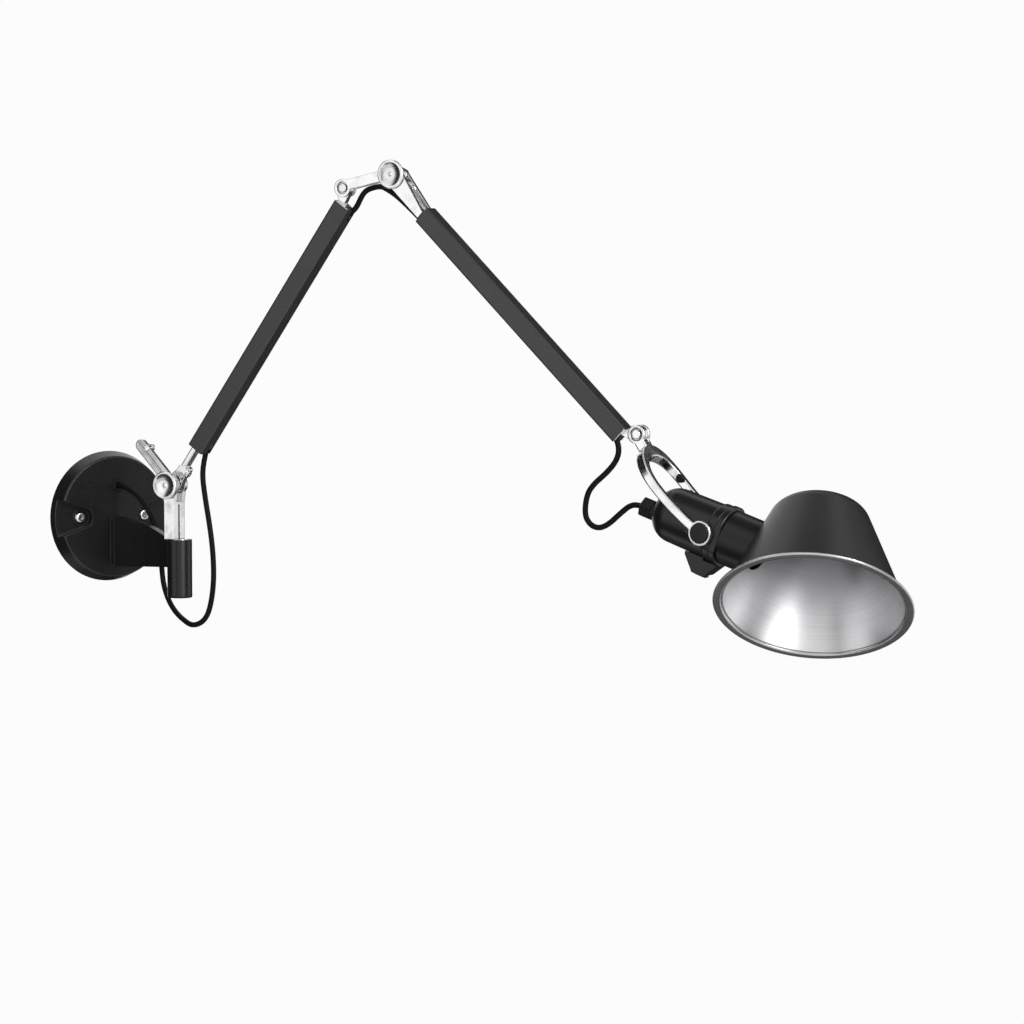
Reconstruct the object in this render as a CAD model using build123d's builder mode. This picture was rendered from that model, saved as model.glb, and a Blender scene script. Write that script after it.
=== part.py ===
"""Articulating wall lamp: wall plate, two balanced arms, yoke, lampholder and a turning shade.

Millimetres. The wall is the plane Y = 0 and the lamp stands out towards -Y. +X is right, +Z is up.
The origin is the centre of the wall plate's back face. The arms lie in one upright plane, which
leans away from the wall plane by arm_heading. Each moving group has a frame of its own:
X runs along it, Y across it in the arm plane, and Z towards the near side of the lamp.
"""

import os
from math import cos, pi, radians, sin, tan

from build123d import *

os.makedirs("parts", exist_ok=True)

# ---------------------------------------------------------------- fits and small gaps
running_gap = 0.05      # radial, shafts that turn in a bore
seat_gap = 0.03         # radial, pieces pressed or clamped in a bore
face_gap = 0.05         # flat faces clamped together in one group
moving_gap = 0.3        # between faces that move past each other

# ---------------------------------------------------------------- wall plate
plate_radius = 50.0
plate_face_radius = 46.3
plate_depth = 12.0
plate_edge = 1.5
plate_front_wall = 3.0
plate_cavity_radius = 42.5
cover_screw_spacing = 55.0
cover_screw_radius = 2.0
cover_screw_head = 4.6
cover_screw_dome = 2.2
pocket_radius = 7.8
pocket_mouth = 31.0
pocket_floor = 5.0
pocket_wall = 2.2
cord_hole_x = 2.0
cord_hole_z = 24.0
grommet_flange = 5.4
grommet_flange_depth = 1.0

# ---------------------------------------------------------------- strap that stays on the wall
strap_thickness = 2.0
strap_width = 14.0
strap_height = 76.0
strap_end_margin = 6.5
wall_hole_radius = 2.4
wall_hole_spacing = 62.0

# ---------------------------------------------------------------- terminal block and cord clamp
terminal_length = 24.0
terminal_width = 12.0
terminal_height = 5.6
terminal_z = 5.0
terminal_pitch = 7.5
terminal_hole_radius = 1.9
terminal_screw_radius = 1.6
clamp_length = 13.0
clamp_width = 9.0
clamp_height = 4.4

# ---------------------------------------------------------------- bracket
bracket_reach = 111.6
web_thickness = 5.0
web_root_bottom = -38.0
web_root_top = 0.9
web_pad_width = 11.4
web_pad_depth = 1.6
web_end_bottom = -32.4
web_drop_far = -12.2
web_drop_mid = -6.6
web_mid_reach = 80.0
web_near_reach = 48.0
web_near_top = -1.0
bracket_screw_radius = 1.5
bracket_screw_head = 2.7
bracket_screw_head_height = 1.8
bracket_screw_length = 14.0
bracket_screw_z = (-9.0, -29.0)

# ---------------------------------------------------------------- sleeve and its bushes
sleeve_radius = 9.3
sleeve_top = -11.2
sleeve_length = 42.2
sleeve_bore = 6.0
sleeve_mouth_radius = 7.4
sleeve_mouth_depth = 3.2
bush_length = 8.0
sleeve_cap_depth = 1.2
sleeve_cap_plug = 2.5
sleeve_cap_edge = 1.0

# ---------------------------------------------------------------- swivel fork
spigot_radius = 4.5
spigot_collar_radius = 7.0
spigot_collar_depth = 2.6
spigot_clip_radius = 5.7
spigot_clip_thickness = 1.0
spigot_groove_depth = 0.6
fork_offset = -4.6
fork_width = 8.8
fork_cheek = 3.95
fork_slot = 6.4
fork_slot_floor = 17.0
fork_eye_radius = 7.5
fork_groove_width = 1.8
fork_groove_depth = 1.6
shoulder_rise = 29.6
shoulder_bolt_radius = 3.0

# ---------------------------------------------------------------- tension lever
lever_angle = 134.0
lever_offset = -3.8
lever_length = 36.8
lever_width = 8.8
lever_thickness = 3.6
lever_eye_radius = 9.6
lever_groove_width = 1.5
lever_groove_depth = 0.7
anchor_pin_x = 31.5
anchor_pin_y = -6.6
anchor_pin_radius = 2.1
anchor_pin_length = 5.2
anchor_pin_head_radius = 2.9
anchor_pin_head = 1.6

# ---------------------------------------------------------------- dished caps of the two large pivots
dish_cap_radius = 10.4
dish_cap_depth = 2.6
dish_cap_hollow = 8.3
dish_cap_sink = 1.3
dish_cap_nub = 1.5
pivot_nut_radius = 4.2
pivot_nut_depth = 2.2
pivot_washer_radius = 5.2
pivot_washer = 0.5

# ---------------------------------------------------------------- arms
arm_heading = 64.0
tube_side = 13.5
tube_wall = 1.2
tube_corner = 1.6
tube_length = 220.0
far_pivot_rise = 4.6
plug_gap = 0.1
plug_length = 14.0
tongue_half = 2.3
tongue_eye_radius = 6.0
tongue_root_height = 5.2
tongue_root_rise = 3.0

lower_angle = 54.3
lower_tube_start = 35.5
lower_tube_drop = -2.6
lower_tongue_reach = 10.3
lower_eye_radius = 7.0
knuckle_start = 10.0
knuckle_length = 8.0
knuckle_height = 7.4
knuckle_half = 4.6
knuckle_drop = -1.4
knuckle_screw_radius = 2.0
knuckle_screw_head = 2.6
knuckle_screw_socket = 1.2
bar_half = 3.9
bar_width = 4.2
bar_drop = -0.3

upper_angle = -43.9
upper_tube_start = 36.9
upper_tube_drop = -4.8
upper_tongue_reach = 8.9
prong_thickness = 2.9
near_prong_eye = 7.4
far_prong_eye = 4.6
prong_end_height = 5.6
prong_end_drop = -4.8
tension_rod_radius = 1.4
tension_rod_drop = -2.6
tension_rod_start = 11.5
tension_rod_depth = 8.0
tension_block_radius = 2.9

balance_spring_radius = 3.0
balance_spring_bore = 1.9
balance_spring_start = 70.0
balance_spring_length = 96.0
balance_wire_radius = 0.7
balance_spring_cap = 3.0
balance_wire_short = 6.0
balance_line_rise = 2.1

# ---------------------------------------------------------------- elbow link
link_angle = 11.9
link_length = 44.8
link_ear_radius = 6.5
link_ear = 2.0
link_height = 7.4
link_bar_rise = 1.4
link_web_start = 30.0
link_hub_radius = 5.4
elbow_bolt_radius = 3.0
small_pin_radius = 2.0
small_pin_head = 3.2
small_socket_radius = 4.5
small_socket_depth = 1.4

# ---------------------------------------------------------------- yoke
yoke_angle = -48.0
yoke_length = 87.5
yoke_gap = 39.4
yoke_bar = 4.3
yoke_bar_width = 6.0
yoke_bow = -5.2
yoke_neck_width = 8.0
yoke_crotch = 19.0
yoke_flare_end = 44.0
yoke_eye_radius = 8.5
yoke_cap_radius = 6.85
yoke_cap_sink = 1.9
yoke_cap_dome = 0.5
yoke_stud_radius = 3.0
bumper_x = 38.5
bumper_y = -3.4
bumper_radius = 3.0
bumper_height = 4.2

# ---------------------------------------------------------------- lampholder
head_angle = -18.6
cover_rear = -44.9
cover_front = 7.4
cover_radius = 19.9
cover_wall = 1.6
cover_rear_flat = 9.0
collar_radius = 21.6
collar_length = 5.0
collar_lip = 1.2
pivot_flat = 19.2
pivot_flat_reach = 13.0
stud_boss_radius = 4.6
stud_boss_depth = 4.8
socket_radius = 13.4
socket_start = -20.0
socket_length = 46.0
socket_bore = 7.0
socket_bore_depth = 24.0
socket_shell_wall = 0.4
contact_radius = 2.2
contact_height = 2.4
switch_half = 8.0
switch_front = 12.3
switch_rear = -13.1
switch_bottom = -31.0
button_length = 9.0
button_width = 6.0
button_height = 5.0
button_stand = 1.6
button_travel = 1.2
button_x = 0.4
gland_y = -3.2
gland_rear = -57.1
gland_nut_length = 9.0
gland_nut_radius = 7.6
gland_body_radius = 6.4

# ---------------------------------------------------------------- neck and shade
neck_radius = 19.4
neck_mouth_radius = 19.2
neck_wall = 1.8
neck_spigot = 3.6
neck_spigot_radius = 16.6
shade_roll = 39.2
shade_lean = 64.0
shade_cross = 80.3
shade_drop = 27.2
shade_height = 77.2
shade_base_radius = 62.7
shade_slope = 22.7
shade_shoulder = 13.2
shade_wall = 1.0
liner_wall = 0.7
rim_radius = 67.7
rim_height = 1.6

# ---------------------------------------------------------------- supply cord
cord_radius = 2.0
cord_side = 3.0         # how far the cord lies beside the middle of each tube
cord_track_gap = 0.15   # between the cord and the tube wall that it lies on
cord_slot_gap = 0.25    # on each side, where the cord passes a tube's edge
cord_slot = 9.0
cord_slot_stretch = 10.0
cord_in_gland = 4.0


# ---------------------------------------------------------------- frames
up = Vector(0, 0, 1)
heading = Vector(cos(radians(arm_heading)), -sin(radians(arm_heading)), 0)
near_side = heading.cross(up)


def link_frame(origin, angle):
    """Frame of a part of the arm: X along it at an angle above level, Z to the near side."""
    along = heading * cos(radians(angle)) + up * sin(radians(angle))
    return Plane(origin=origin, x_dir=along, z_dir=near_side)


def turn(frame, direction):
    """A direction given in a frame's own axes, turned into the lamp's axes."""
    x, y, z = direction
    return frame.x_dir * x + frame.y_dir * y + frame.z_dir * z


def spot(frame, x, y=0.0, z=0.0):
    """A point given in a frame's own axes."""
    return frame.origin + turn(frame, (x, y, z))


def seat(frame, origin, x_dir=(1, 0, 0), z_dir=(0, 0, 1)):
    """A plane set in a frame: its origin and directions are in the frame's own axes."""
    return Plane(origin=spot(frame, *origin), x_dir=turn(frame, x_dir), z_dir=turn(frame, z_dir))


def cross_plane(frame, x, y=0.0, z=0.0):
    """A plane square to a frame's X: its own x is the frame's Y, its own y the frame's Z."""
    return seat(frame, (x, y, z), x_dir=(0, 1, 0), z_dir=(1, 0, 0))


wall_face = Plane(origin=(0, 0, 0), x_dir=(1, 0, 0), z_dir=(0, -1, 0))
bracket_side = Plane(origin=(0, 0, 0), x_dir=(0, -1, 0), z_dir=(-1, 0, 0))
swivel_axis_foot = Vector(0, -bracket_reach, 0)
swivel = link_frame(swivel_axis_foot, 0.0)
shoulder = link_frame(spot(swivel, fork_offset, shoulder_rise), lower_angle)
lever_frame = link_frame(shoulder.origin, lever_angle)
lower_span = lower_tube_start + tube_length + lower_tongue_reach
upper_span = upper_tube_start + tube_length + upper_tongue_reach
link = link_frame(spot(shoulder, lower_span, far_pivot_rise), link_angle)
elbow = link_frame(spot(link, link_length), upper_angle)
wrist = link_frame(spot(elbow, upper_span, far_pivot_rise), yoke_angle)
head = link_frame(spot(wrist, yoke_length), head_angle)
rolled = seat(head, (0, 0, 0), z_dir=(0, sin(radians(shade_roll)), cos(radians(shade_roll))))
lean_cos = cos(radians(shade_lean))
lean_sin = sin(radians(shade_lean))
rim_centre = (shade_cross + lean_cos * shade_drop, -lean_sin * shade_drop, 0)
shade_section = seat(rolled, rim_centre, x_dir=(lean_sin, lean_cos, 0), z_dir=(0, 0, 1))
shade_axis = Axis(shade_section.origin, shade_section.y_dir)


def keep(piece, name):
    """Name a finished piece and write it."""
    piece.part.label = name
    export_step(piece.part, f"parts/{name}.step")


# ================================================================ wall plate group
pocket_inner = cover_screw_spacing / 2 - pocket_radius
front_cavity = plate_depth - plate_front_wall
strap_room = strap_thickness + 0.2


def pocket_outline(grow):
    """Round-ended pockets round both cover screws, flaring out to the rim."""
    for side in (1, -1):
        with BuildSketch(mode=Mode.PRIVATE) as outline:
            with Locations((side * cover_screw_spacing / 2, 0)):
                Circle(pocket_radius + grow)
            with Locations((side * (plate_radius + grow + 1), 0)):
                Rectangle(2, pocket_mouth + 2 * grow)
            make_hull()
        yield outline.sketch


with BuildPart() as wall_plate:
    with BuildSketch(wall_face):
        Circle(plate_radius)
    with BuildSketch(wall_face.offset(plate_depth)):
        Circle(plate_face_radius)
    loft()
    fillet(wall_plate.edges().group_by(Axis.Y)[0], plate_edge)
    with BuildSketch(wall_face):
        Circle(plate_cavity_radius)
    extrude(amount=strap_room, mode=Mode.SUBTRACT)
    with BuildSketch(wall_face):
        Circle(plate_cavity_radius)
        for blank in pocket_outline(pocket_wall):
            add(blank, mode=Mode.SUBTRACT)
    extrude(amount=front_cavity, mode=Mode.SUBTRACT)
    with BuildSketch(wall_face.offset(pocket_floor)):
        for blank in pocket_outline(0.0):
            add(blank)
    extrude(amount=plate_depth, mode=Mode.SUBTRACT)
    with BuildSketch(wall_face):
        with GridLocations(cover_screw_spacing, 0, 2, 1):
            Circle(cover_screw_radius + 0.25)
        with Locations((cord_hole_x, cord_hole_z)):
            Circle(cord_radius + 1.6)
        for z in bracket_screw_z:
            with Locations((0, z)):
                Circle(bracket_screw_radius + 0.1)
    extrude(amount=plate_depth, mode=Mode.SUBTRACT)
keep(wall_plate, "wall_plate")

with BuildPart() as wall_strap:
    with BuildSketch(wall_face):
        RectangleRounded(cover_screw_spacing + 2 * strap_end_margin, strap_width, strap_width / 2 - 0.5)
        RectangleRounded(strap_width, strap_height, strap_width / 2 - 0.5)
        with GridLocations(cover_screw_spacing, 0, 2, 1):
            Circle(cover_screw_radius + seat_gap, mode=Mode.SUBTRACT)
        with GridLocations(0, wall_hole_spacing, 1, 2):
            Circle(wall_hole_radius, mode=Mode.SUBTRACT)
    extrude(amount=strap_thickness)
keep(wall_strap, "wall_strap")

with BuildPart() as cover_screws:
    with BuildSketch(wall_face.offset(0.2)):
        with GridLocations(cover_screw_spacing, 0, 2, 1):
            Circle(cover_screw_radius)
    extrude(amount=pocket_floor - 0.2 + face_gap)
    with BuildSketch(wall_face.offset(pocket_floor + face_gap)):
        with GridLocations(cover_screw_spacing, 0, 2, 1):
            Circle(cover_screw_head)
    extrude(amount=cover_screw_dome + 0.6)
    fillet(cover_screws.edges().group_by(Axis.Y)[0], cover_screw_dome)
    with BuildSketch(wall_face.offset(pocket_floor + cover_screw_dome - 0.6)):
        with GridLocations(cover_screw_spacing, 0, 2, 1):
            RegularPolygon(1.6, 6)
    extrude(amount=cover_screw_dome + 1, mode=Mode.SUBTRACT)
keep(cover_screws, "cover_screws")

grommet_bore = cord_radius + seat_gap
with BuildPart() as cord_grommet:
    with BuildSketch(wall_face.offset(plate_depth + face_gap)):
        with Locations((cord_hole_x, cord_hole_z)):
            Circle(grommet_flange)
            Circle(grommet_bore, mode=Mode.SUBTRACT)
    extrude(amount=grommet_flange_depth, taper=20)
    with BuildSketch(wall_face.offset(front_cavity + face_gap)):
        with Locations((cord_hole_x, cord_hole_z)):
            Circle(cord_radius + 1.6 - seat_gap)
            Circle(grommet_bore, mode=Mode.SUBTRACT)
    extrude(amount=plate_front_wall)
keep(cord_grommet, "cord_grommet")

clamp_face = wall_face.offset(front_cavity - clamp_height)
with BuildPart() as cord_clamp:
    with BuildSketch(clamp_face):
        with Locations((cord_hole_x, cord_hole_z)):
            RectangleRounded(clamp_length, clamp_width, 1.5)
            Circle(grommet_bore, mode=Mode.SUBTRACT)
    extrude(amount=clamp_height - face_gap)
keep(cord_clamp, "cord_clamp")

terminal_face = wall_face.offset(strap_thickness + 0.1)
with BuildPart() as terminal_block:
    with BuildSketch(terminal_face):
        with Locations((0, terminal_z)):
            RectangleRounded(terminal_length, terminal_width, 1.2)
    extrude(amount=terminal_height)
    with BuildSketch(terminal_face.offset(terminal_height)):
        with Locations((0, terminal_z)):
            with GridLocations(terminal_pitch, 0, 3, 1):
                Circle(terminal_hole_radius)
    extrude(amount=-terminal_height * 0.6, mode=Mode.SUBTRACT)
keep(terminal_block, "terminal_block")

with BuildPart() as terminal_screws:
    with BuildSketch(terminal_face.offset(terminal_height * 0.4 + face_gap)):
        with Locations((0, terminal_z)):
            with GridLocations(terminal_pitch, 0, 3, 1):
                Circle(terminal_screw_radius)
    extrude(amount=terminal_height * 0.5)
keep(terminal_screws, "terminal_screws")

# ================================================================ bracket with its sleeve
web_foot = plate_depth + face_gap
web_tip = bracket_reach - sleeve_radius * 0.6
with BuildPart() as wall_bracket:
    with BuildSketch(bracket_side):
        with BuildLine():
            Spline(
                (web_foot, web_root_top),
                (web_near_reach, web_near_top),
                (web_mid_reach, web_drop_mid),
                (web_tip, web_drop_far),
                tangents=((1, 0), (1, -0.12)),
            )
            Line((web_tip, web_drop_far), (web_tip, web_end_bottom))
            Line((web_tip, web_end_bottom), (web_foot, web_root_bottom))
            Line((web_foot, web_root_bottom), (web_foot, web_root_top))
        make_face()
    extrude(amount=web_thickness / 2, both=True)
    with BuildSketch(wall_face.offset(web_foot)):
        with Locations((0, (web_root_top + web_root_bottom) / 2)):
            RectangleRounded(web_pad_width, web_root_top - web_root_bottom, 2.0)
    extrude(amount=web_pad_depth)
    with BuildSketch(Plane(origin=(0, -bracket_reach, sleeve_top))):
        Circle(sleeve_radius)
    extrude(amount=-sleeve_length)
    with BuildSketch(Plane(origin=(0, -bracket_reach, sleeve_top))):
        Circle(sleeve_bore)
    extrude(amount=-sleeve_length, mode=Mode.SUBTRACT)
    with BuildSketch(Plane(origin=(0, -bracket_reach, sleeve_top))):
        Circle(sleeve_mouth_radius)
    extrude(amount=-sleeve_mouth_depth, mode=Mode.SUBTRACT)
    with BuildSketch(wall_face.offset(web_foot)):
        for z in bracket_screw_z:
            with Locations((0, z)):
                Circle(bracket_screw_radius + seat_gap)
    extrude(amount=bracket_screw_length, mode=Mode.SUBTRACT)
keep(wall_bracket, "wall_bracket")

with BuildPart() as bracket_screws:
    with BuildSketch(wall_face.offset(front_cavity - face_gap)):
        for z in bracket_screw_z:
            with Locations((0, z)):
                Circle(bracket_screw_radius)
    extrude(amount=bracket_screw_length)
    with BuildSketch(wall_face.offset(front_cavity - face_gap)):
        for z in bracket_screw_z:
            with Locations((0, z)):
                Circle(bracket_screw_head)
    extrude(amount=-bracket_screw_head_height)
keep(bracket_screws, "bracket_screws")

sleeve_foot = sleeve_top - sleeve_length
bush_tops = (sleeve_top - sleeve_mouth_depth, sleeve_foot + bush_length + 6.0)
with BuildPart() as sleeve_bushes:
    for bush_top in bush_tops:
        with BuildSketch(Plane(origin=(0, -bracket_reach, bush_top))):
            Circle(sleeve_bore - seat_gap)
            Circle(spigot_radius + running_gap, mode=Mode.SUBTRACT)
        extrude(amount=-bush_length)
keep(sleeve_bushes, "sleeve_bushes")

with BuildPart() as sleeve_cap:
    with BuildSketch(Plane(origin=(0, -bracket_reach, sleeve_foot - face_gap))):
        Circle(sleeve_radius)
    extrude(amount=-sleeve_cap_depth)
    fillet(sleeve_cap.edges().group_by(Axis.Z)[0], sleeve_cap_edge)
    with BuildSketch(Plane(origin=(0, -bracket_reach, sleeve_foot - face_gap))):
        Circle(sleeve_bore - seat_gap)
    extrude(amount=sleeve_cap_plug)
keep(sleeve_cap, "sleeve_cap")

# ================================================================ swivel group
spigot_foot = sleeve_foot + sleeve_cap_plug + 0.8
clip_top = bush_tops[1] - bush_length - moving_gap
fork_foot = sleeve_top + moving_gap
fork_half = fork_slot / 2 + fork_cheek
collar_foot = sleeve_top - spigot_collar_depth
with BuildPart() as swivel_fork:
    with BuildSketch(Plane(origin=(0, -bracket_reach, spigot_foot))):
        Circle(spigot_radius)
    extrude(amount=fork_foot - spigot_foot)
    with BuildSketch(Plane(origin=(0, -bracket_reach, collar_foot))):
        Circle(spigot_collar_radius)
    extrude(amount=fork_foot - collar_foot)
    with BuildSketch(Plane(origin=(0, -bracket_reach, clip_top))):
        Circle(spigot_radius + 1)
        Circle(spigot_radius - spigot_groove_depth, mode=Mode.SUBTRACT)
    extrude(amount=-spigot_clip_thickness, mode=Mode.SUBTRACT)
    with BuildSketch(swivel):
        with Locations((fork_offset, (fork_foot + shoulder_rise) / 2)):
            Rectangle(fork_width, shoulder_rise - fork_foot)
        with Locations((fork_offset, shoulder_rise)):
            Circle(fork_eye_radius)
        with Locations((fork_offset, shoulder_rise - fork_eye_radius * 1.5)):
            Trapezoid(fork_width + 2.4, fork_eye_radius * 1.6, 82, rotation=180)
    extrude(amount=fork_half, both=True)
    with BuildSketch(swivel):
        with Locations((fork_offset, fork_slot_floor + 20)):
            Rectangle(4 * fork_width, 40)
    extrude(amount=fork_slot / 2, both=True, mode=Mode.SUBTRACT)
    groove_top = fork_slot_floor - 1.0
    with BuildSketch(seat(swivel, (fork_offset + fork_width / 2, 0, 0), (0, 1, 0), (1, 0, 0))):
        with Locations(((fork_foot + groove_top) / 2 - 1.0, 0)):
            SlotOverall(groove_top - fork_foot, fork_groove_width)
    extrude(amount=-fork_groove_depth, mode=Mode.SUBTRACT)
    with BuildSketch(swivel):
        with Locations((fork_offset, shoulder_rise)):
            Circle(shoulder_bolt_radius + seat_gap)
    extrude(amount=fork_half + 1, both=True, mode=Mode.SUBTRACT)
keep(swivel_fork, "swivel_fork")

with BuildPart() as spigot_clip:
    with BuildSketch(Plane(origin=(0, -bracket_reach, clip_top - 0.02))):
        Circle(spigot_clip_radius)
        Circle(spigot_radius - spigot_groove_depth + seat_gap, mode=Mode.SUBTRACT)
        with Locations(heading * -spigot_radius):
            Rectangle(spigot_radius * 1.4, spigot_radius, mode=Mode.SUBTRACT)
    extrude(amount=-(spigot_clip_thickness - 0.04))
keep(spigot_clip, "spigot_clip")

lever_back = fork_half + face_gap
lever_front = lever_back + lever_thickness
with BuildPart() as tension_lever:
    with BuildSketch(seat(lever_frame, (0, 0, lever_back))):
        Circle(lever_eye_radius)
        with BuildLine():
            Line((0, lever_offset - lever_width / 2), (lever_length, lever_offset - lever_width / 2))
            ThreePointArc(
                (lever_length, lever_offset - lever_width / 2),
                (lever_length + lever_width / 2, lever_offset),
                (lever_length, lever_offset + lever_width / 2),
            )
            Line((lever_length, lever_offset + lever_width / 2), (0, lever_offset + lever_width / 2))
            Line((0, lever_offset + lever_width / 2), (0, lever_offset - lever_width / 2))
        make_face()
    extrude(amount=lever_thickness)
    fillet(tension_lever.edges().group_by(Axis(shoulder.origin, near_side))[-1], 0.6)
    with BuildSketch(seat(lever_frame, (0, 0, lever_front))):
        with Locations((dish_cap_radius + lever_length / 2 - 4, lever_offset)):
            SlotOverall(lever_length - dish_cap_radius + 2, lever_groove_width)
    extrude(amount=-lever_groove_depth, mode=Mode.SUBTRACT)
    with BuildSketch(seat(lever_frame, (0, 0, lever_back))):
        Circle(shoulder_bolt_radius + seat_gap)
        with Locations((anchor_pin_x, anchor_pin_y)):
            Circle(anchor_pin_radius + seat_gap)
    extrude(amount=lever_thickness, mode=Mode.SUBTRACT)
keep(tension_lever, "tension_lever")

with BuildPart() as lever_anchor_pin:
    with BuildSketch(seat(lever_frame, (anchor_pin_x, anchor_pin_y, lever_front))):
        Circle(anchor_pin_radius)
    extrude(amount=-anchor_pin_length)
    with BuildSketch(seat(lever_frame, (anchor_pin_x, anchor_pin_y, lever_front - anchor_pin_length))):
        Circle(anchor_pin_head_radius)
    extrude(amount=-anchor_pin_head)
keep(lever_anchor_pin, "lever_anchor_pin")


def dished_cap(frame, back, bolt_radius):
    """Large round cap with a sunk dish, a nub in its middle and a blind hole for the bolt."""
    with BuildPart() as cap:
        with BuildSketch(seat(frame, (0, 0, 0), x_dir=(1, 0, 0), z_dir=(0, -1, 0))):
            with BuildLine():
                Polyline(
                    (0, back),
                    (dish_cap_radius - 0.6, back),
                    (dish_cap_radius, back + 0.7),
                    (dish_cap_radius, back + dish_cap_depth - 0.6),
                    (dish_cap_radius - 0.7, back + dish_cap_depth),
                    (dish_cap_hollow + 0.3, back + dish_cap_depth),
                )
                ThreePointArc(
                    (dish_cap_hollow + 0.3, back + dish_cap_depth),
                    (dish_cap_hollow * 0.6, back + dish_cap_depth - dish_cap_sink * 0.85),
                    (dish_cap_nub, back + dish_cap_depth - dish_cap_sink),
                )
                nub_foot = back + dish_cap_depth - dish_cap_sink
                Polyline(
                    (dish_cap_nub, nub_foot),
                    (dish_cap_nub * 0.7, nub_foot + 0.5),
                    (0, nub_foot + 0.5),
                    (0, back),
                )
            make_face()
        revolve(axis=Axis(frame.origin, frame.z_dir))
        with BuildSketch(seat(frame, (0, 0, back))):
            Circle(bolt_radius + seat_gap)
        extrude(amount=(dish_cap_depth - dish_cap_sink) * 0.6, mode=Mode.SUBTRACT)
    return cap


def pivot_bolt(frame, near_end, far_face, bolt_radius):
    """Bolt along a pivot, with a low round head on the far side."""
    with BuildPart() as bolt:
        with BuildSketch(seat(frame, (0, 0, near_end))):
            Circle(bolt_radius)
        extrude(amount=-(near_end + far_face))
        with BuildSketch(seat(frame, (0, 0, -far_face))):
            Circle(pivot_nut_radius)
        extrude(amount=-pivot_nut_depth)
        chamfer(bolt.faces().sort_by(Axis(frame.origin, frame.z_dir))[0].edges(), 0.7)
        with BuildSketch(seat(frame, (0, 0, -far_face - pivot_nut_depth))):
            RegularPolygon(1.7, 6)
        extrude(amount=1.2, mode=Mode.SUBTRACT)
    return bolt


def pivot_washers(frame, start, bore, moving_radius):
    """The two friction washers of a large pivot."""
    with BuildPart() as washers:
        for side in (1, -1):
            with BuildSketch(seat(frame, (0, 0, side * start))):
                Circle(moving_radius)
                Circle(bore, mode=Mode.SUBTRACT)
            extrude(amount=side * pivot_washer)
    return washers


cap_seat = lever_front + face_gap
cap_bolt_reach = cap_seat + (dish_cap_depth - dish_cap_sink) * 0.6 - 0.1
shoulder_cap = dished_cap(shoulder, cap_seat, shoulder_bolt_radius)
keep(shoulder_cap, "shoulder_cap")
shoulder_bolt = pivot_bolt(shoulder, cap_bolt_reach, fork_half + face_gap, shoulder_bolt_radius)
keep(shoulder_bolt, "shoulder_bolt")

# ================================================================ lower arm group
washer_bore = shoulder_bolt_radius + 0.1
shoulder_washers = pivot_washers(shoulder, tongue_half + 0.02, washer_bore, pivot_washer_radius)
keep(shoulder_washers, "shoulder_washers")

plug_side = tube_side - 2 * tube_wall - 2 * plug_gap
cord_track = tube_side / 2 - tube_wall - cord_radius - cord_track_gap


def square_tube(frame, start, drop, side):
    """Square tube with rounded corners, with a slot for the cord in its lower wall at each end."""
    with BuildPart() as tube:
        with BuildSketch(cross_plane(frame, start, drop)):
            RectangleRounded(tube_side, tube_side, tube_corner)
            inner = tube_side - 2 * tube_wall
            RectangleRounded(inner, inner, max(tube_corner - tube_wall, 0.3), mode=Mode.SUBTRACT)
        extrude(amount=tube_length)
        lower_wall = (start + tube_length / 2, drop - tube_side / 2, side)
        with BuildSketch(seat(frame, lower_wall, (1, 0, 0), (0, -1, 0))):
            with GridLocations(tube_length, 0, 2, 1):
                SlotOverall(2 * cord_slot, 2 * (cord_radius + cord_slot_gap))
        extrude(amount=-tube_wall * 1.5, mode=Mode.SUBTRACT)
    return tube


def cord_notch(frame, start, drop, side):
    """Round notch for the cord through whatever closes the end of a tube, as a sketch."""
    with BuildSketch(cross_plane(frame, start, drop - cord_track, side), mode=Mode.PRIVATE) as notch:
        Circle(cord_radius + seat_gap)
        with Locations((-cord_radius, 0)):
            Rectangle(2 * cord_radius, 2 * (cord_radius + seat_gap))
    return notch.sketch


def wire_hole(frame, start, drop):
    """Hole for the balance wire through an end plug, as a sketch."""
    with BuildSketch(cross_plane(frame, start, drop + balance_line_rise), mode=Mode.PRIVATE) as hole:
        Circle(balance_wire_radius + 0.1)
    return hole.sketch


def end_tongue(frame, tube_start, drop, side, reach):
    """Casting in the far end of a tube: a plug, and a flat tongue with the eye of the small pivot."""
    tube_end = tube_start + tube_length
    with BuildPart() as tongue:
        with BuildSketch(cross_plane(frame, tube_end - plug_length, drop)):
            RectangleRounded(plug_side, plug_side, 0.6)
        extrude(amount=plug_length + 0.5)
        with BuildSketch(frame):
            with Locations((tube_end + reach, far_pivot_rise)):
                Circle(tongue_eye_radius)
            with Locations((tube_end + 0.8, drop + tongue_root_rise)):
                Rectangle(1, tongue_root_height)
            make_hull()
        extrude(amount=tongue_half, both=True)
        with BuildSketch(seat(frame, (tube_end + reach, far_pivot_rise, 0))):
            Circle(small_pin_radius + running_gap)
        extrude(amount=tongue_half + 1, both=True, mode=Mode.SUBTRACT)
        plug_back = tube_end - plug_length - 1
        extrude(cord_notch(frame, plug_back, drop, side), amount=plug_length + 12, mode=Mode.SUBTRACT)
        extrude(wire_hole(frame, plug_back, drop), amount=plug_length - 2, mode=Mode.SUBTRACT)
    return tongue


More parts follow.
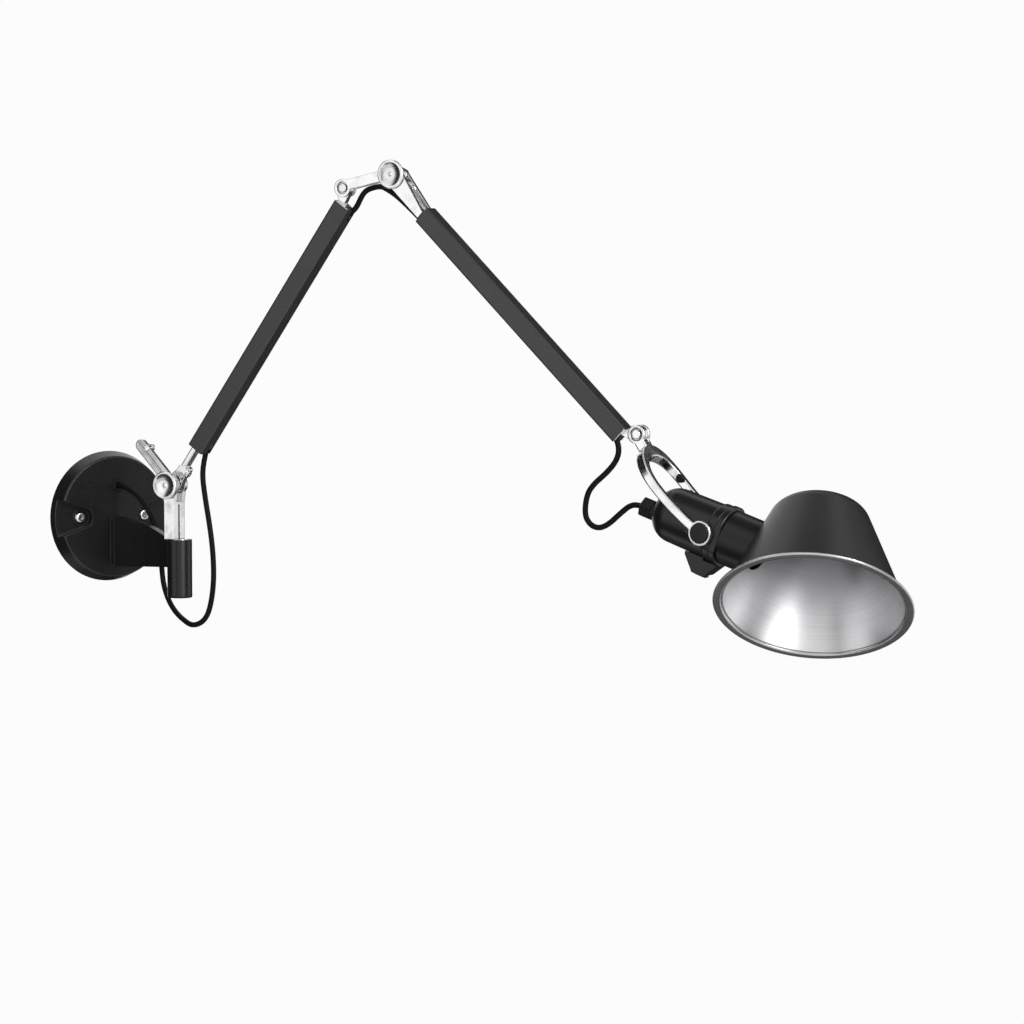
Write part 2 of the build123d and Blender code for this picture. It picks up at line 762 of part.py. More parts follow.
lower_cord_side = -cord_side
plug_start = lower_tube_start
with BuildPart() as lower_fork:
    with BuildSketch(shoulder):
        Circle(lower_eye_radius)
        with Locations((knuckle_start + knuckle_length / 2, knuckle_drop)):
            Rectangle(knuckle_length, knuckle_height * 0.8)
        make_hull()
    extrude(amount=tongue_half, both=True)
    with BuildSketch(shoulder):
        with Locations((knuckle_start + knuckle_length / 2, knuckle_drop)):
            RectangleRounded(knuckle_length, knuckle_height, 2.0)
    extrude(amount=knuckle_half, both=True)
    with BuildSketch(cross_plane(shoulder, knuckle_start + 2, bar_drop)):
        RectangleRounded(bar_width, 2 * bar_half, 1.2)
    extrude(amount=lower_tube_start - knuckle_start - 1)
    with BuildSketch(cross_plane(shoulder, plug_start, lower_tube_drop)):
        RectangleRounded(plug_side, plug_side, 0.6)
    extrude(amount=plug_length)
    with BuildSketch(shoulder):
        Circle(shoulder_bolt_radius + running_gap)
    extrude(amount=tongue_half + 1, both=True, mode=Mode.SUBTRACT)
    knuckle_face = knuckle_drop - knuckle_height / 2
    knuckle_spot = (knuckle_start + knuckle_length / 2, knuckle_face, 0)
    with BuildSketch(seat(shoulder, knuckle_spot, (1, 0, 0), (0, 1, 0))):
        Circle(knuckle_screw_radius + seat_gap)
    extrude(amount=knuckle_height * 0.6, mode=Mode.SUBTRACT)
    with BuildSketch(seat(shoulder, knuckle_spot, (1, 0, 0), (0, -1, 0))):
        Circle(knuckle_screw_head + 0.2)
    extrude(amount=4, mode=Mode.SUBTRACT)
    lower_notch = cord_notch(shoulder, plug_start - 1, lower_tube_drop, lower_cord_side)
    extrude(lower_notch, amount=plug_length + 2, mode=Mode.SUBTRACT)
    extrude(wire_hole(shoulder, plug_start + 2, lower_tube_drop), amount=plug_length, mode=Mode.SUBTRACT)
keep(lower_fork, "lower_fork")

with BuildPart() as knuckle_screw:
    screw_seat = (knuckle_start + knuckle_length / 2, knuckle_face - face_gap, 0)
    with BuildSketch(seat(shoulder, screw_seat, (1, 0, 0), (0, 1, 0))):
        Circle(knuckle_screw_radius)
    extrude(amount=knuckle_height * 0.5)
    with BuildSketch(seat(shoulder, screw_seat, (1, 0, 0), (0, -1, 0))):
        Circle(knuckle_screw_head)
    extrude(amount=1.6)
    screw_top = (screw_seat[0], screw_seat[1] - 1.6, 0)
    with BuildSketch(seat(shoulder, screw_top, (1, 0, 0), (0, 1, 0))):
        RegularPolygon(knuckle_screw_socket * 1.2, 6)
    extrude(amount=1.1, mode=Mode.SUBTRACT)
keep(knuckle_screw, "knuckle_screw")

lower_tube = square_tube(shoulder, lower_tube_start, lower_tube_drop, lower_cord_side)
keep(lower_tube, "lower_tube")
lower_tongue = end_tongue(
    shoulder, lower_tube_start, lower_tube_drop, lower_cord_side, lower_tongue_reach
)
keep(lower_tongue, "lower_tongue")


def balance_spring(frame, tube_start, drop, depth):
    """Close-wound balance spring as a closed sleeve, and the two wires that tie it to the tube's ends."""
    line = drop + balance_line_rise
    spring_start = tube_start + balance_spring_start
    spring_end = spring_start + balance_spring_length
    far_end = tube_start + tube_length
    with BuildPart() as spring:
        with BuildSketch(cross_plane(frame, spring_start, line)):
            Circle(balance_spring_radius)
        extrude(amount=balance_spring_length)
        with BuildSketch(cross_plane(frame, spring_start + balance_spring_cap, line)):
            Circle(balance_spring_bore)
        extrude(amount=balance_spring_length - 2 * balance_spring_cap, mode=Mode.SUBTRACT)
        with BuildSketch(cross_plane(frame, tube_start + depth, line)):
            Circle(balance_wire_radius)
        extrude(amount=balance_spring_start - depth + face_gap)
        with BuildSketch(cross_plane(frame, spring_end - face_gap, line)):
            Circle(balance_wire_radius)
        extrude(amount=far_end - balance_wire_short - spring_end)
    return spring


lower_spring = balance_spring(shoulder, lower_tube_start, lower_tube_drop, balance_wire_short)
keep(lower_spring, "lower_balance_spring")


def small_pin(frame, ear_face):
    """Pin of a small pivot: a shaft with a round head sunk in each outer face."""
    head_back = ear_face - small_socket_depth + face_gap
    with BuildPart() as pin:
        with BuildSketch(frame):
            Circle(small_pin_radius)
        extrude(amount=head_back + 0.01, both=True)
        for side in (1, -1):
            with BuildSketch(seat(frame, (0, 0, side * head_back))):
                Circle(small_pin_head)
            extrude(amount=side * (small_socket_depth - 0.2))
        fillet(pin.edges().filter_by(GeomType.CIRCLE).sort_by(Axis(frame.origin, frame.z_dir))[-1:], 0.6)
    return pin


# ================================================================ elbow link group
ear_back = tongue_half + moving_gap
ear_face = ear_back + link_ear
link_hub_half = ear_face
prong_half_gap = link_hub_half + pivot_washer + 2 * face_gap
with BuildPart() as elbow_link:
    with BuildSketch(link):
        Circle(link_ear_radius)
        with Locations((link_length / 2, link_bar_rise)):
            Rectangle(link_length, link_height)
        with Locations((link_length, 0)):
            Circle(link_hub_radius)
    extrude(amount=ear_face, both=True)
    with BuildSketch(link):
        with Locations((link_web_start / 2 - link_ear_radius, 0)):
            Rectangle(link_web_start + 2 * link_ear_radius, 4 * link_ear_radius)
    extrude(amount=ear_back, both=True, mode=Mode.SUBTRACT)
    with BuildSketch(seat(link, (link_length, 0, 0))):
        Circle(link_hub_radius)
    extrude(amount=link_hub_half, both=True)
    with BuildSketch(seat(link, (link_length, 0, 0))):
        Circle(elbow_bolt_radius + seat_gap)
    extrude(amount=link_hub_half + 1, both=True, mode=Mode.SUBTRACT)
    with BuildSketch(link):
        Circle(small_pin_radius + seat_gap)
    extrude(amount=ear_face + 1, both=True, mode=Mode.SUBTRACT)
    for side in (1, -1):
        with BuildSketch(seat(link, (0, 0, side * ear_face))):
            Circle(small_socket_radius)
        extrude(amount=-side * small_socket_depth, mode=Mode.SUBTRACT)
keep(elbow_link, "elbow_link")
keep(small_pin(link, ear_face), "link_pin")

prong_outer = prong_half_gap + prong_thickness
elbow_cap = dished_cap(elbow, prong_outer + face_gap, elbow_bolt_radius)
elbow_bolt_end = prong_outer + face_gap + (dish_cap_depth - dish_cap_sink) * 0.6 - 0.1
elbow_bolt = pivot_bolt(elbow, elbow_bolt_end, prong_outer + face_gap, elbow_bolt_radius)
elbow_washers = pivot_washers(elbow, link_hub_half + 0.02, elbow_bolt_radius + 0.1, pivot_washer_radius)
keep(elbow_cap, "elbow_cap")
keep(elbow_bolt, "elbow_bolt")
keep(elbow_washers, "elbow_washers")

# ================================================================ upper arm group
upper_cord_side = cord_side
with BuildPart() as upper_fork:
    for side, eye in ((1, near_prong_eye), (-1, far_prong_eye)):
        with BuildSketch(seat(elbow, (0, 0, side * prong_half_gap))):
            Circle(eye)
            with Locations((upper_tube_start - 1, prong_end_drop)):
                Rectangle(2, prong_end_height)
            make_hull()
            Circle(elbow_bolt_radius + running_gap, mode=Mode.SUBTRACT)
        extrude(amount=side * prong_thickness)
    with BuildSketch(elbow):
        with Locations((upper_tube_start - 2, prong_end_drop)):
            Rectangle(4, prong_end_height)
    extrude(amount=prong_outer, both=True)
    with BuildSketch(cross_plane(elbow, upper_tube_start, upper_tube_drop)):
        RectangleRounded(plug_side, plug_side, 0.6)
    extrude(amount=plug_length)
    with BuildSketch(seat(elbow, (upper_tube_start, 0, 0), (0, 1, 0), (1, 0, 0))):
        with Locations((tension_rod_drop, 0)):
            Circle(tension_rod_radius + seat_gap)
    extrude(amount=12, both=True, mode=Mode.SUBTRACT)
    upper_notch = cord_notch(elbow, upper_tube_start - 6, upper_tube_drop, upper_cord_side)
    extrude(upper_notch, amount=plug_length + 8, mode=Mode.SUBTRACT)
    extrude(wire_hole(elbow, upper_tube_start + 2, upper_tube_drop), amount=plug_length, mode=Mode.SUBTRACT)
keep(upper_fork, "upper_fork")

with BuildPart() as tension_rod:
    with BuildSketch(seat(elbow, (tension_rod_start, tension_rod_drop, 0))):
        with BuildLine():
            ball_edge = ((tension_block_radius**2 - tension_rod_radius**2) ** 0.5, tension_rod_radius)
            rod_length = upper_tube_start + tension_rod_depth - tension_rod_start
            Polyline(
                (-tension_block_radius, 0),
                (rod_length, 0),
                (rod_length, tension_rod_radius),
                ball_edge,
            )
            ThreePointArc(ball_edge, (0, tension_block_radius), (-tension_block_radius, 0))
        make_face()
    revolve(axis=Axis(spot(elbow, 0, tension_rod_drop), elbow.x_dir))
keep(tension_rod, "tension_rod")

upper_tube = square_tube(elbow, upper_tube_start, upper_tube_drop, upper_cord_side)
keep(upper_tube, "upper_tube")
upper_tongue = end_tongue(
    elbow, upper_tube_start, upper_tube_drop, upper_cord_side, upper_tongue_reach
)
keep(upper_tongue, "upper_tongue")
upper_wire_depth = tension_rod_depth + face_gap
upper_spring = balance_spring(elbow, upper_tube_start, upper_tube_drop, upper_wire_depth)
keep(upper_spring, "upper_balance_spring")

# ================================================================ yoke group
bar_inner = yoke_gap / 2
bar_outer = bar_inner + yoke_bar
neck_half = ear_face
with BuildPart() as yoke:
    with BuildSketch(seat(wrist, (0, 0, 0), x_dir=(1, 0, 0), z_dir=(0, -1, 0))):
        with BuildLine():
            Polyline((-12, 0), (-12, neck_half), (yoke_crotch - 8, neck_half))
            Bezier(
                (yoke_crotch - 8, neck_half),
                (yoke_crotch - 5, bar_outer * 0.7),
                (yoke_crotch + 6, bar_outer),
                (yoke_flare_end, bar_outer),
            )
            Polyline(
                (yoke_flare_end, bar_outer),
                (yoke_length + 12, bar_outer),
                (yoke_length + 12, bar_inner),
                (yoke_flare_end, bar_inner),
            )
            Bezier(
                (yoke_flare_end, bar_inner),
                (yoke_crotch + 10, bar_inner),
                (yoke_crotch, bar_inner * 0.7),
                (yoke_crotch, 0),
            )
            Line((yoke_crotch, 0), (-12, 0))
        make_face()
        mirror(about=Plane.XZ)
    extrude(amount=15, both=True)
    with BuildSketch(wrist):
        Circle(link_ear_radius)
        with Locations((yoke_length, 0)):
            Circle(yoke_eye_radius)
        with BuildLine():
            bow = ThreePointArc(
                (0, yoke_neck_width / 2 - 0.6),
                (yoke_length * 0.45, yoke_bow + yoke_bar_width / 2),
                (yoke_length, yoke_bar_width / 2),
            )
            Line(bow @ 1, (yoke_length, -yoke_bar_width / 2))
            ThreePointArc(
                (yoke_length, -yoke_bar_width / 2),
                (yoke_length * 0.45, yoke_bow - yoke_bar_width / 2),
                (0, -yoke_neck_width / 2 - 0.2),
            )
            Line((0, -yoke_neck_width / 2 - 0.2), bow @ 0)
        make_face()
    extrude(amount=bar_outer + 2, both=True, mode=Mode.INTERSECT)
    with BuildSketch(wrist):
        with Locations((-1, 0)):
            Rectangle(2 * link_ear_radius + 5, 4 * link_ear_radius)
    extrude(amount=ear_back, both=True, mode=Mode.SUBTRACT)
    with BuildSketch(wrist):
        Circle(small_pin_radius + seat_gap)
    extrude(amount=ear_face + 1, both=True, mode=Mode.SUBTRACT)
    for side in (1, -1):
        with BuildSketch(seat(wrist, (0, 0, side * ear_face))):
            Circle(small_socket_radius)
        extrude(amount=-side * small_socket_depth, mode=Mode.SUBTRACT)
        with BuildSketch(seat(wrist, (yoke_length, 0, side * bar_outer))):
            Circle(yoke_cap_radius + 0.1)
        extrude(amount=-side * yoke_cap_sink, mode=Mode.SUBTRACT)
    with BuildSketch(seat(wrist, (yoke_length, 0, 0))):
        Circle(yoke_stud_radius + running_gap)
    extrude(amount=bar_outer + 2, both=True, mode=Mode.SUBTRACT)
    with BuildSketch(seat(wrist, (bumper_x, bumper_y, -bar_inner))):
        Circle(bumper_radius + 0.1)
    extrude(amount=bar_inner / 2, mode=Mode.SUBTRACT)
keep(yoke, "yoke")
keep(small_pin(wrist, ear_face), "yoke_pin")

with BuildPart() as yoke_bumper:
    with BuildSketch(seat(wrist, (bumper_x, bumper_y, -bar_inner + face_gap))):
        Circle(bumper_radius)
    extrude(amount=bumper_height)
    fillet(yoke_bumper.faces().sort_by(Axis(wrist.origin, wrist.z_dir))[-1].edges(), 1.4)
keep(yoke_bumper, "yoke_bumper")

# ================================================================ lampholder group
collar_front = cover_front + 0.1 + collar_length


def pivot_flat_outline(start, length, side):
    """Outline of one of the two flats that the yoke's eyes face."""
    middle = (start + length / 2, 0, side * pivot_flat)
    with BuildSketch(seat(head, middle), mode=Mode.PRIVATE) as outline:
        Rectangle(length, 4 * collar_radius)
    return outline.sketch


with BuildPart() as lampholder_cover:
    with BuildSketch(head):
        with BuildLine():
            Line((cover_rear, 0), (cover_rear, cover_rear_flat))
            ThreePointArc(
                (cover_rear, cover_rear_flat),
                (cover_rear + 5.0, cover_radius - 4.2),
                (cover_rear + 15.0, cover_radius - 0.6),
            )
            Polyline(
                (cover_rear + 15.0, cover_radius - 0.6),
                (cover_front - 6, cover_radius),
                (cover_front - 5, cover_radius + 1.0),
                (cover_front, cover_radius + 1.0),
                (cover_front, 0),
                (cover_rear, 0),
            )
        make_face()
    revolve(axis=Axis(head.origin, head.x_dir))
    bore_radius = cover_radius - cover_wall - 0.6
    with BuildSketch(cross_plane(head, cover_front)):
        Circle(bore_radius)
    extrude(amount=-(cover_front - cover_rear - 14), mode=Mode.SUBTRACT)
    with BuildSketch(cross_plane(head, cover_rear + 14)):
        Circle(bore_radius)
    extrude(amount=-11.5, taper=30, mode=Mode.SUBTRACT)
    for side in (1, -1):
        with BuildSketch(seat(head, (0, 0, side * (pivot_flat - stud_boss_depth)))):
            Circle(stud_boss_radius)
        extrude(amount=side * (stud_boss_depth + 1))
    for side in (1, -1):
        flat = pivot_flat_outline(-pivot_flat_reach, pivot_flat_reach + cover_front + 1, side)
        extrude(flat, amount=side * 20, mode=Mode.SUBTRACT)
    with BuildSketch(head):
        Circle(yoke_stud_radius - 0.5 + seat_gap)
    extrude(amount=collar_radius + 2, both=True, mode=Mode.SUBTRACT)
    with BuildSketch(cross_plane(head, cover_rear - 2, gland_y)):
        Circle(gland_body_radius - 1.4)
    extrude(amount=12, mode=Mode.SUBTRACT)
keep(lampholder_cover, "lampholder_cover")

collar_bore = neck_spigot_radius + running_gap
with BuildPart() as lampholder_collar:
    with BuildSketch(cross_plane(head, cover_front + 0.1)):
        Circle(collar_radius)
        Circle(collar_bore, mode=Mode.SUBTRACT)
    extrude(amount=collar_length)
    chamfer(lampholder_collar.edges().filter_by(GeomType.CIRCLE).group_by(SortBy.RADIUS)[-1], 0.8)
    with BuildSketch(cross_plane(head, cover_front + 0.1)):
        Circle(bore_radius - 0.1)
        Circle(collar_bore, mode=Mode.SUBTRACT)
    extrude(amount=-collar_lip)
    for side in (1, -1):
        flat = pivot_flat_outline(cover_front - 4, collar_length + 5, side)
        extrude(flat, amount=side * 20, mode=Mode.SUBTRACT)
keep(lampholder_collar, "lampholder_collar")

stud_foot = pivot_flat - stud_boss_depth
stud_step = bar_outer - yoke_cap_sink
with BuildPart() as tilt_studs:
    for side in (1, -1):
        with BuildSketch(seat(head, (0, 0, side * stud_foot))):
            Circle(yoke_stud_radius - 0.5)
        extrude(amount=side * (pivot_flat - stud_foot + face_gap))
        with BuildSketch(seat(head, (0, 0, side * (pivot_flat + face_gap)))):
            Circle(yoke_stud_radius)
        extrude(amount=side * (stud_step - pivot_flat + 0.1))
keep(tilt_studs, "tilt_studs")

with BuildPart() as tilt_caps:
    for side in (1, -1):
        with BuildSketch(seat(head, (0, 0, side * (stud_step + 0.2)))):
            Circle(yoke_cap_radius - 0.1)
        extrude(amount=side * (yoke_cap_sink + yoke_cap_dome - 0.2))
    cap_rims = tilt_caps.edges().filter_by(GeomType.CIRCLE).sort_by(Axis(head.origin, head.z_dir))
    fillet(ShapeList([cap_rims[0], cap_rims[-1]]), yoke_cap_dome)
keep(tilt_caps, "tilt_caps")

with BuildPart() as lamp_socket:
    with BuildSketch(cross_plane(head, socket_start)):
        Circle(socket_radius)
    extrude(amount=socket_length)
    with BuildSketch(cross_plane(head, socket_start + socket_length)):
        Circle(socket_bore + socket_shell_wall + seat_gap)
    extrude(amount=-socket_bore_depth, mode=Mode.SUBTRACT)
    with BuildSketch(cross_plane(head, socket_start + 4)):
        Circle(cover_radius - cover_wall - 0.7)
    extrude(amount=4)
    with BuildSketch(cross_plane(head, socket_start)):
        with PolarLocations(socket_radius * 0.55, 2):
            Circle(1.6)
    extrude(amount=10, mode=Mode.SUBTRACT)
keep(lamp_socket, "lamp_socket")

socket_floor = socket_start + socket_length - socket_bore_depth
with BuildPart() as socket_shell:
    with BuildSketch(cross_plane(head, socket_floor + 3)):
        Circle(socket_bore + socket_shell_wall)
        Circle(socket_bore, mode=Mode.SUBTRACT)
    extrude(amount=socket_bore_depth - 4)
keep(socket_shell, "socket_shell")

with BuildPart() as socket_contact:
    with BuildSketch(cross_plane(head, socket_floor + 0.02)):
        Circle(contact_radius)
    extrude(amount=contact_height)
    fillet(socket_contact.faces().sort_by(Axis(head.origin, head.x_dir))[-1].edges(), 0.8)
keep(socket_contact, "socket_contact")

with BuildPart() as switch_case:
    with BuildSketch(head):
        with BuildLine():
            Polyline(
                (switch_rear, -15.0),
                (switch_rear, -20.6),
                (switch_rear + 9.1, switch_bottom),
                (switch_front - 7.4, switch_bottom),
                (switch_front, -21.0),
                (switch_front, -15.0),
                close=True,
            )
        make_face()
    extrude(amount=switch_half, both=True)
    long_edges = switch_case.edges().filter_by(Axis(head.origin, head.z_dir))
    fillet(long_edges.sort_by(Axis(head.origin, head.y_dir))[:2], 1.2)
    with BuildSketch(cross_plane(head, -30)):
        Circle(cover_radius + 0.1)
    extrude(amount=30 + cover_front - 5.2, mode=Mode.SUBTRACT)
    with BuildSketch(cross_plane(head, cover_front - 6)):
        Circle(collar_radius + 0.05)
    extrude(amount=20, mode=Mode.SUBTRACT)
    with BuildSketch(seat(head, (button_x, switch_bottom, 0), (1, 0, 0), (0, 1, 0))):
        RectangleRounded(button_length + 0.6, button_width + 0.6, 1.2)
    extrude(amount=button_height + 0.6, mode=Mode.SUBTRACT)
keep(switch_case, "switch_case")

with BuildPart() as switch_button:
    with BuildSketch(seat(head, (button_x, switch_bottom - button_stand, 0), (1, 0, 0), (0, 1, 0))):
        RectangleRounded(button_length, button_width, 1.0)
    extrude(amount=button_height + button_stand - button_travel - 0.3)
    fillet(switch_button.faces().sort_by(Axis(head.origin, head.y_dir))[0].edges(), 0.6)
keep(switch_button, "switch_button")

gland_step = gland_rear + gland_nut_length
with BuildPart() as cord_gland:
    with BuildSketch(cross_plane(head, gland_step, gland_y)):
        Circle(gland_body_radius)
    extrude(amount=cover_rear - gland_step - face_gap)
    with BuildSketch(cross_plane(head, gland_step, gland_y)):
        Circle(gland_body_radius - 1.5)
    extrude(amount=cover_rear - gland_step + 3.0)
    with BuildSketch(cross_plane(head, gland_rear - 1, gland_y)):
        Circle(grommet_bore)
    extrude(amount=40, mode=Mode.SUBTRACT)
keep(cord_gland, "cord_gland")

with BuildPart() as gland_nut:
    with BuildSketch(cross_plane(head, gland_rear, gland_y)):
        RegularPolygon(gland_nut_radius, 6, rotation=15)
    extrude(amount=gland_nut_length - face_gap)
    chamfer(gland_nut.faces().sort_by(Axis(head.origin, head.x_dir))[0].edges(), 0.8)
    with BuildSketch(cross_plane(head, gland_rear, gland_y)):
        Circle(grommet_bore)
    extrude(amount=gland_nut_length, mode=Mode.SUBTRACT)
keep(gland_nut, "gland_nut")


# ================================================================ shade group
def cone_radius(height, base):
    """Radius of the shade's straight side at a height over the lip."""
    return base - tan(radians(shade_slope)) * (height - rim_height)


def shade_form(inset):
    """Half outline of the shade's body, moved inwards by an inset, as a closed sketch face."""
    base = shade_base_radius - inset / cos(radians(shade_slope))
    top = shade_height - inset
    with BuildSketch(shade_section, mode=Mode.PRIVATE) as outline:
        with BuildLine():
            shoulder_corner = (cone_radius(top, base), top)
            side = FilletPolyline((base, rim_height), shoulder_corner, (0, top), radius=shade_shoulder - inset)
            Polyline(side @ 1, (0, rim_height), side @ 0)
        make_face()
    return outline.sketch


neck_back = collar_front + moving_gap
neck_bore = neck_spigot_radius - neck_wall
with BuildPart() as shade:
    add(shade_form(0.0))
    revolve(axis=shade_axis)
    add(shade_form(shade_wall))
    revolve(axis=shade_axis, mode=Mode.SUBTRACT)
    with BuildSketch(cross_plane(head, neck_back)):
        Circle(neck_bore)
    extrude(amount=shade_cross - neck_back, mode=Mode.SUBTRACT)
keep(shade, "shade")

with BuildPart() as reflector_liner:
    add(shade_form(shade_wall + face_gap))
    revolve(axis=shade_axis)
    add(shade_form(shade_wall + face_gap + liner_wall))
    revolve(axis=shade_axis, mode=Mode.SUBTRACT)
    with BuildSketch(cross_plane(head, neck_back)):
        Circle(neck_bore)
    extrude(amount=shade_cross - neck_back, mode=Mode.SUBTRACT)
keep(reflector_liner, "reflector_liner")

rim_seat = rim_height - face_gap
rim_inner = shade_base_radius - shade_wall - 0.1
with BuildPart() as shade_rim:
    with BuildSketch(shade_section):
        with BuildLine():
            lip = FilletPolyline(
                (rim_inner, rim_seat),
                (rim_radius, rim_seat),
                (rim_radius, 0),
                (rim_inner + 1.2, 0),
                radius=(0.7, 0.7),
            )
            Line(lip @ 1, lip @ 0)
        make_face()
    revolve(axis=shade_axis)
keep(shade_rim, "shade_rim")

with BuildPart() as neck:
    with BuildSketch(cross_plane(head, neck_back)):
        Circle(neck_radius)
    with BuildSketch(cross_plane(head, shade_cross - 12)):
        Circle(neck_mouth_radius)
    loft()
    with BuildSketch(cross_plane(head, neck_back)):
        Circle(neck_spigot_radius)
    extrude(amount=-neck_spigot)
    with BuildSketch(cross_plane(head, neck_back - neck_spigot)):
        Circle(neck_bore)
    extrude(amount=shade_cross, mode=Mode.SUBTRACT)
    add(shade_form(-face_gap))
    revolve(axis=shade_axis, mode=Mode.SUBTRACT)
keep(neck, "neck")


# ================================================================ supply cord
def cord_radii(points):
    """Largest arc that each corner's two runs allow: 0.45 of the shorter run over the half turn's tangent."""
    radii = []
    for before, here, after in zip(points, points[1:], points[2:]):
        run_in = here - before
        run_out = after - here
        half_turn = radians(run_in.get_angle(run_out)) / 2
        radii.append(0.45 * min(run_in.length, run_out.length) / tan(half_turn))
    return radii


def cord(name, points):
    """A stretch of the cord as a round tube along straight runs and tangent arcs."""
    radii = cord_radii(points)
    with BuildPart() as tube:
        with BuildLine() as path:
            FilletPolyline(*points, radius=radii)
        route = path.wires()[0]
        with BuildSketch(Plane(origin=route @ 0, z_dir=route % 0)):
            Circle(cord_radius)
        sweep()
    length = route.length
    ratio = tube.part.volume / (pi * cord_radius**2 * length)
    listed = " ".join(f"{radius:.0f}" for radius in radii)
    print(f"{name}: length {length:.1f}, volume ratio {ratio:.4f}, radii {listed}")
    keep(tube, name)


def cord_place(frame, x, drop, side):
    """A point of the cord's line inside a tube."""
    return spot(frame, x, drop - cord_track, side)


def straight_cord(name, frame, start, drop, side):
    """The cord's straight stretch inside a tube, between the slots at the tube's ends."""
    with BuildPart() as stretch:
        with BuildSketch(cross_plane(frame, start + cord_slot_stretch, drop - cord_track, side)):
            Circle(cord_radius)
        extrude(amount=tube_length - 2 * cord_slot_stretch)
    keep(stretch, name)


straight_cord("cord_in_lower_tube", shoulder, lower_tube_start, lower_tube_drop, lower_cord_side)
straight_cord("cord_in_upper_tube", elbow, upper_tube_start, upper_tube_drop, upper_cord_side)

lower_in = lower_tube_start + cord_slot_stretch
lower_out = lower_tube_start + tube_length - cord_slot_stretch
upper_in = upper_tube_start + cord_slot_stretch
upper_out = upper_tube_start + tube_length - cord_slot_stretch

cord_wall_points = [
    Vector(cord_hole_x, -(front_cavity - clamp_height + 0.2), cord_hole_z),
    Vector(cord_hole_x, -19.0, cord_hole_z),
    Vector(4.4, -33.0, 20.4),
    Vector(6.6, -47.0, 10.8),
    Vector(8.2, -57.8, -2.0),
    Vector(9.2, -64.2, -17.5),
    Vector(9.6, -66.2, -33.0),
    Vector(9.4, -69.0, -47.5),
    Vector(8.6, -76.8, -57.8),
    Vector(7.6, -87.6, -65.6),
    Vector(6.8, -100.5, -71.2),
    Vector(6.6, -111.0, -74.0),
]
cord("cord_plate_to_swivel", cord_wall_points)

bottom_run = cord_wall_points[-1] - cord_wall_points[-2]
cord_arm_points = [
    cord_wall_points[-1],
    cord_wall_points[-1] + bottom_run * 0.6,
    spot(swivel, 17.6, -73.4, -1.7),
    spot(swivel, 23.9, -67.2, -1.4),
    spot(swivel, 27.3, -56.4, -1.6),
    spot(swivel, 29.1, -42.5, -1.8),
    spot(swivel, 29.2, -29.0, -1.9),
    spot(swivel, 27.9, -14.5, -2.1),
    spot(swivel, 25.3, 1.5, -2.4),
    spot(swivel, 21.8, 18.0, -2.7),
    spot(swivel, 18.8, 36.0, -3.0),
    spot(swivel, 20.0, 46.5, -3.0),
    cord_place(shoulder, lower_in - 6.0, lower_tube_drop, lower_cord_side),
    cord_place(shoulder, lower_in, lower_tube_drop, lower_cord_side),
]
cord("cord_swivel_to_arm", cord_arm_points)

cord_elbow_low_points = [
    cord_place(shoulder, lower_out, lower_tube_drop, lower_cord_side),
    cord_place(shoulder, lower_out + 4.5, lower_tube_drop, lower_cord_side),
    spot(swivel, 153.7, 232.8, -2.9),
    spot(swivel, 160.0, 243.4, -1.8),
    spot(swivel, 165.4, 247.2, -0.9),
    spot(swivel, 170.8, 248.2, -0.1),
]
cord("cord_elbow_lower", cord_elbow_low_points)

link_run = cord_elbow_low_points[-1] - cord_elbow_low_points[-2]
cord_elbow_high_points = [
    cord_elbow_low_points[-1],
    cord_elbow_low_points[-1] + link_run * 1.1,
    spot(swivel, 182.0, 247.3, 1.0),
    spot(swivel, 190.2, 242.8, 1.7),
    spot(swivel, 198.2, 236.9, 2.4),
    spot(elbow, 30.0, -8.7, 2.9),
    cord_place(elbow, upper_in - 6.0, upper_tube_drop, upper_cord_side),
    cord_place(elbow, upper_in, upper_tube_drop, upper_cord_side),
]
cord("cord_elbow_upper", cord_elbow_high_points)

cord_wrist_arm_points = [
    cord_place(elbow, upper_out, upper_tube_drop, upper_cord_side),
    cord_place(elbow, upper_out + 9.0, upper_tube_drop, upper_cord_side),
    spot(swivel, 371.8, 64.6, 2.9),
    spot(swivel, 368.4, 56.4, 2.6),
    spot(swivel, 360.4, 48.2, 2.2),
    spot(swivel, 350.8, 40.8, 1.8),
    spot(swivel, 345.2, 33.0, 1.5),
    spot(swivel, 344.2, 25.6, 1.2),
]
cord("cord_wrist_arm", cord_wrist_arm_points)

loop_run = cord_wrist_arm_points[-1] - cord_wrist_arm_points[-2]
cord_wrist_head_points = [
    cord_wrist_arm_points[-1],
    cord_wrist_arm_points[-1] + loop_run * 0.9,
    spot(swivel, 347.6, 12.2, 0.6),
    spot(swivel, 354.4, 9.9, 0.4),
    spot(swivel, 362.2, 13.2, 0.3),
    spot(swivel, 371.5, 21.4, 0.1),
    spot(swivel, 379.2, 27.2, 0.0),
    spot(head, gland_rear - 2.5, gland_y),
    spot(head, gland_rear + cord_in_gland, gland_y),
]
cord("cord_wrist_head", cord_wrist_head_points)

with BuildPart() as cord_in_lampholder:
    with BuildSketch(cross_plane(head, gland_rear + cord_in_gland, gland_y)):
        Circle(cord_radius)
    extrude(amount=socket_start - gland_rear - cord_in_gland)
keep(cord_in_lampholder, "cord_in_lampholder")
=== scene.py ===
"""Looks of an articulating wall lamp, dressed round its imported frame.

Metres. The wall is the plane Y = 0, the lamp stands out towards -Y, +X is right and +Z is up.
"""

import logging
import math
from dataclasses import dataclass, field
from enum import Enum
from typing import Dict, List, Optional, Sequence, Tuple, Union

import bpy
import numpy as np
from mathutils import Matrix, Quaternion, Vector


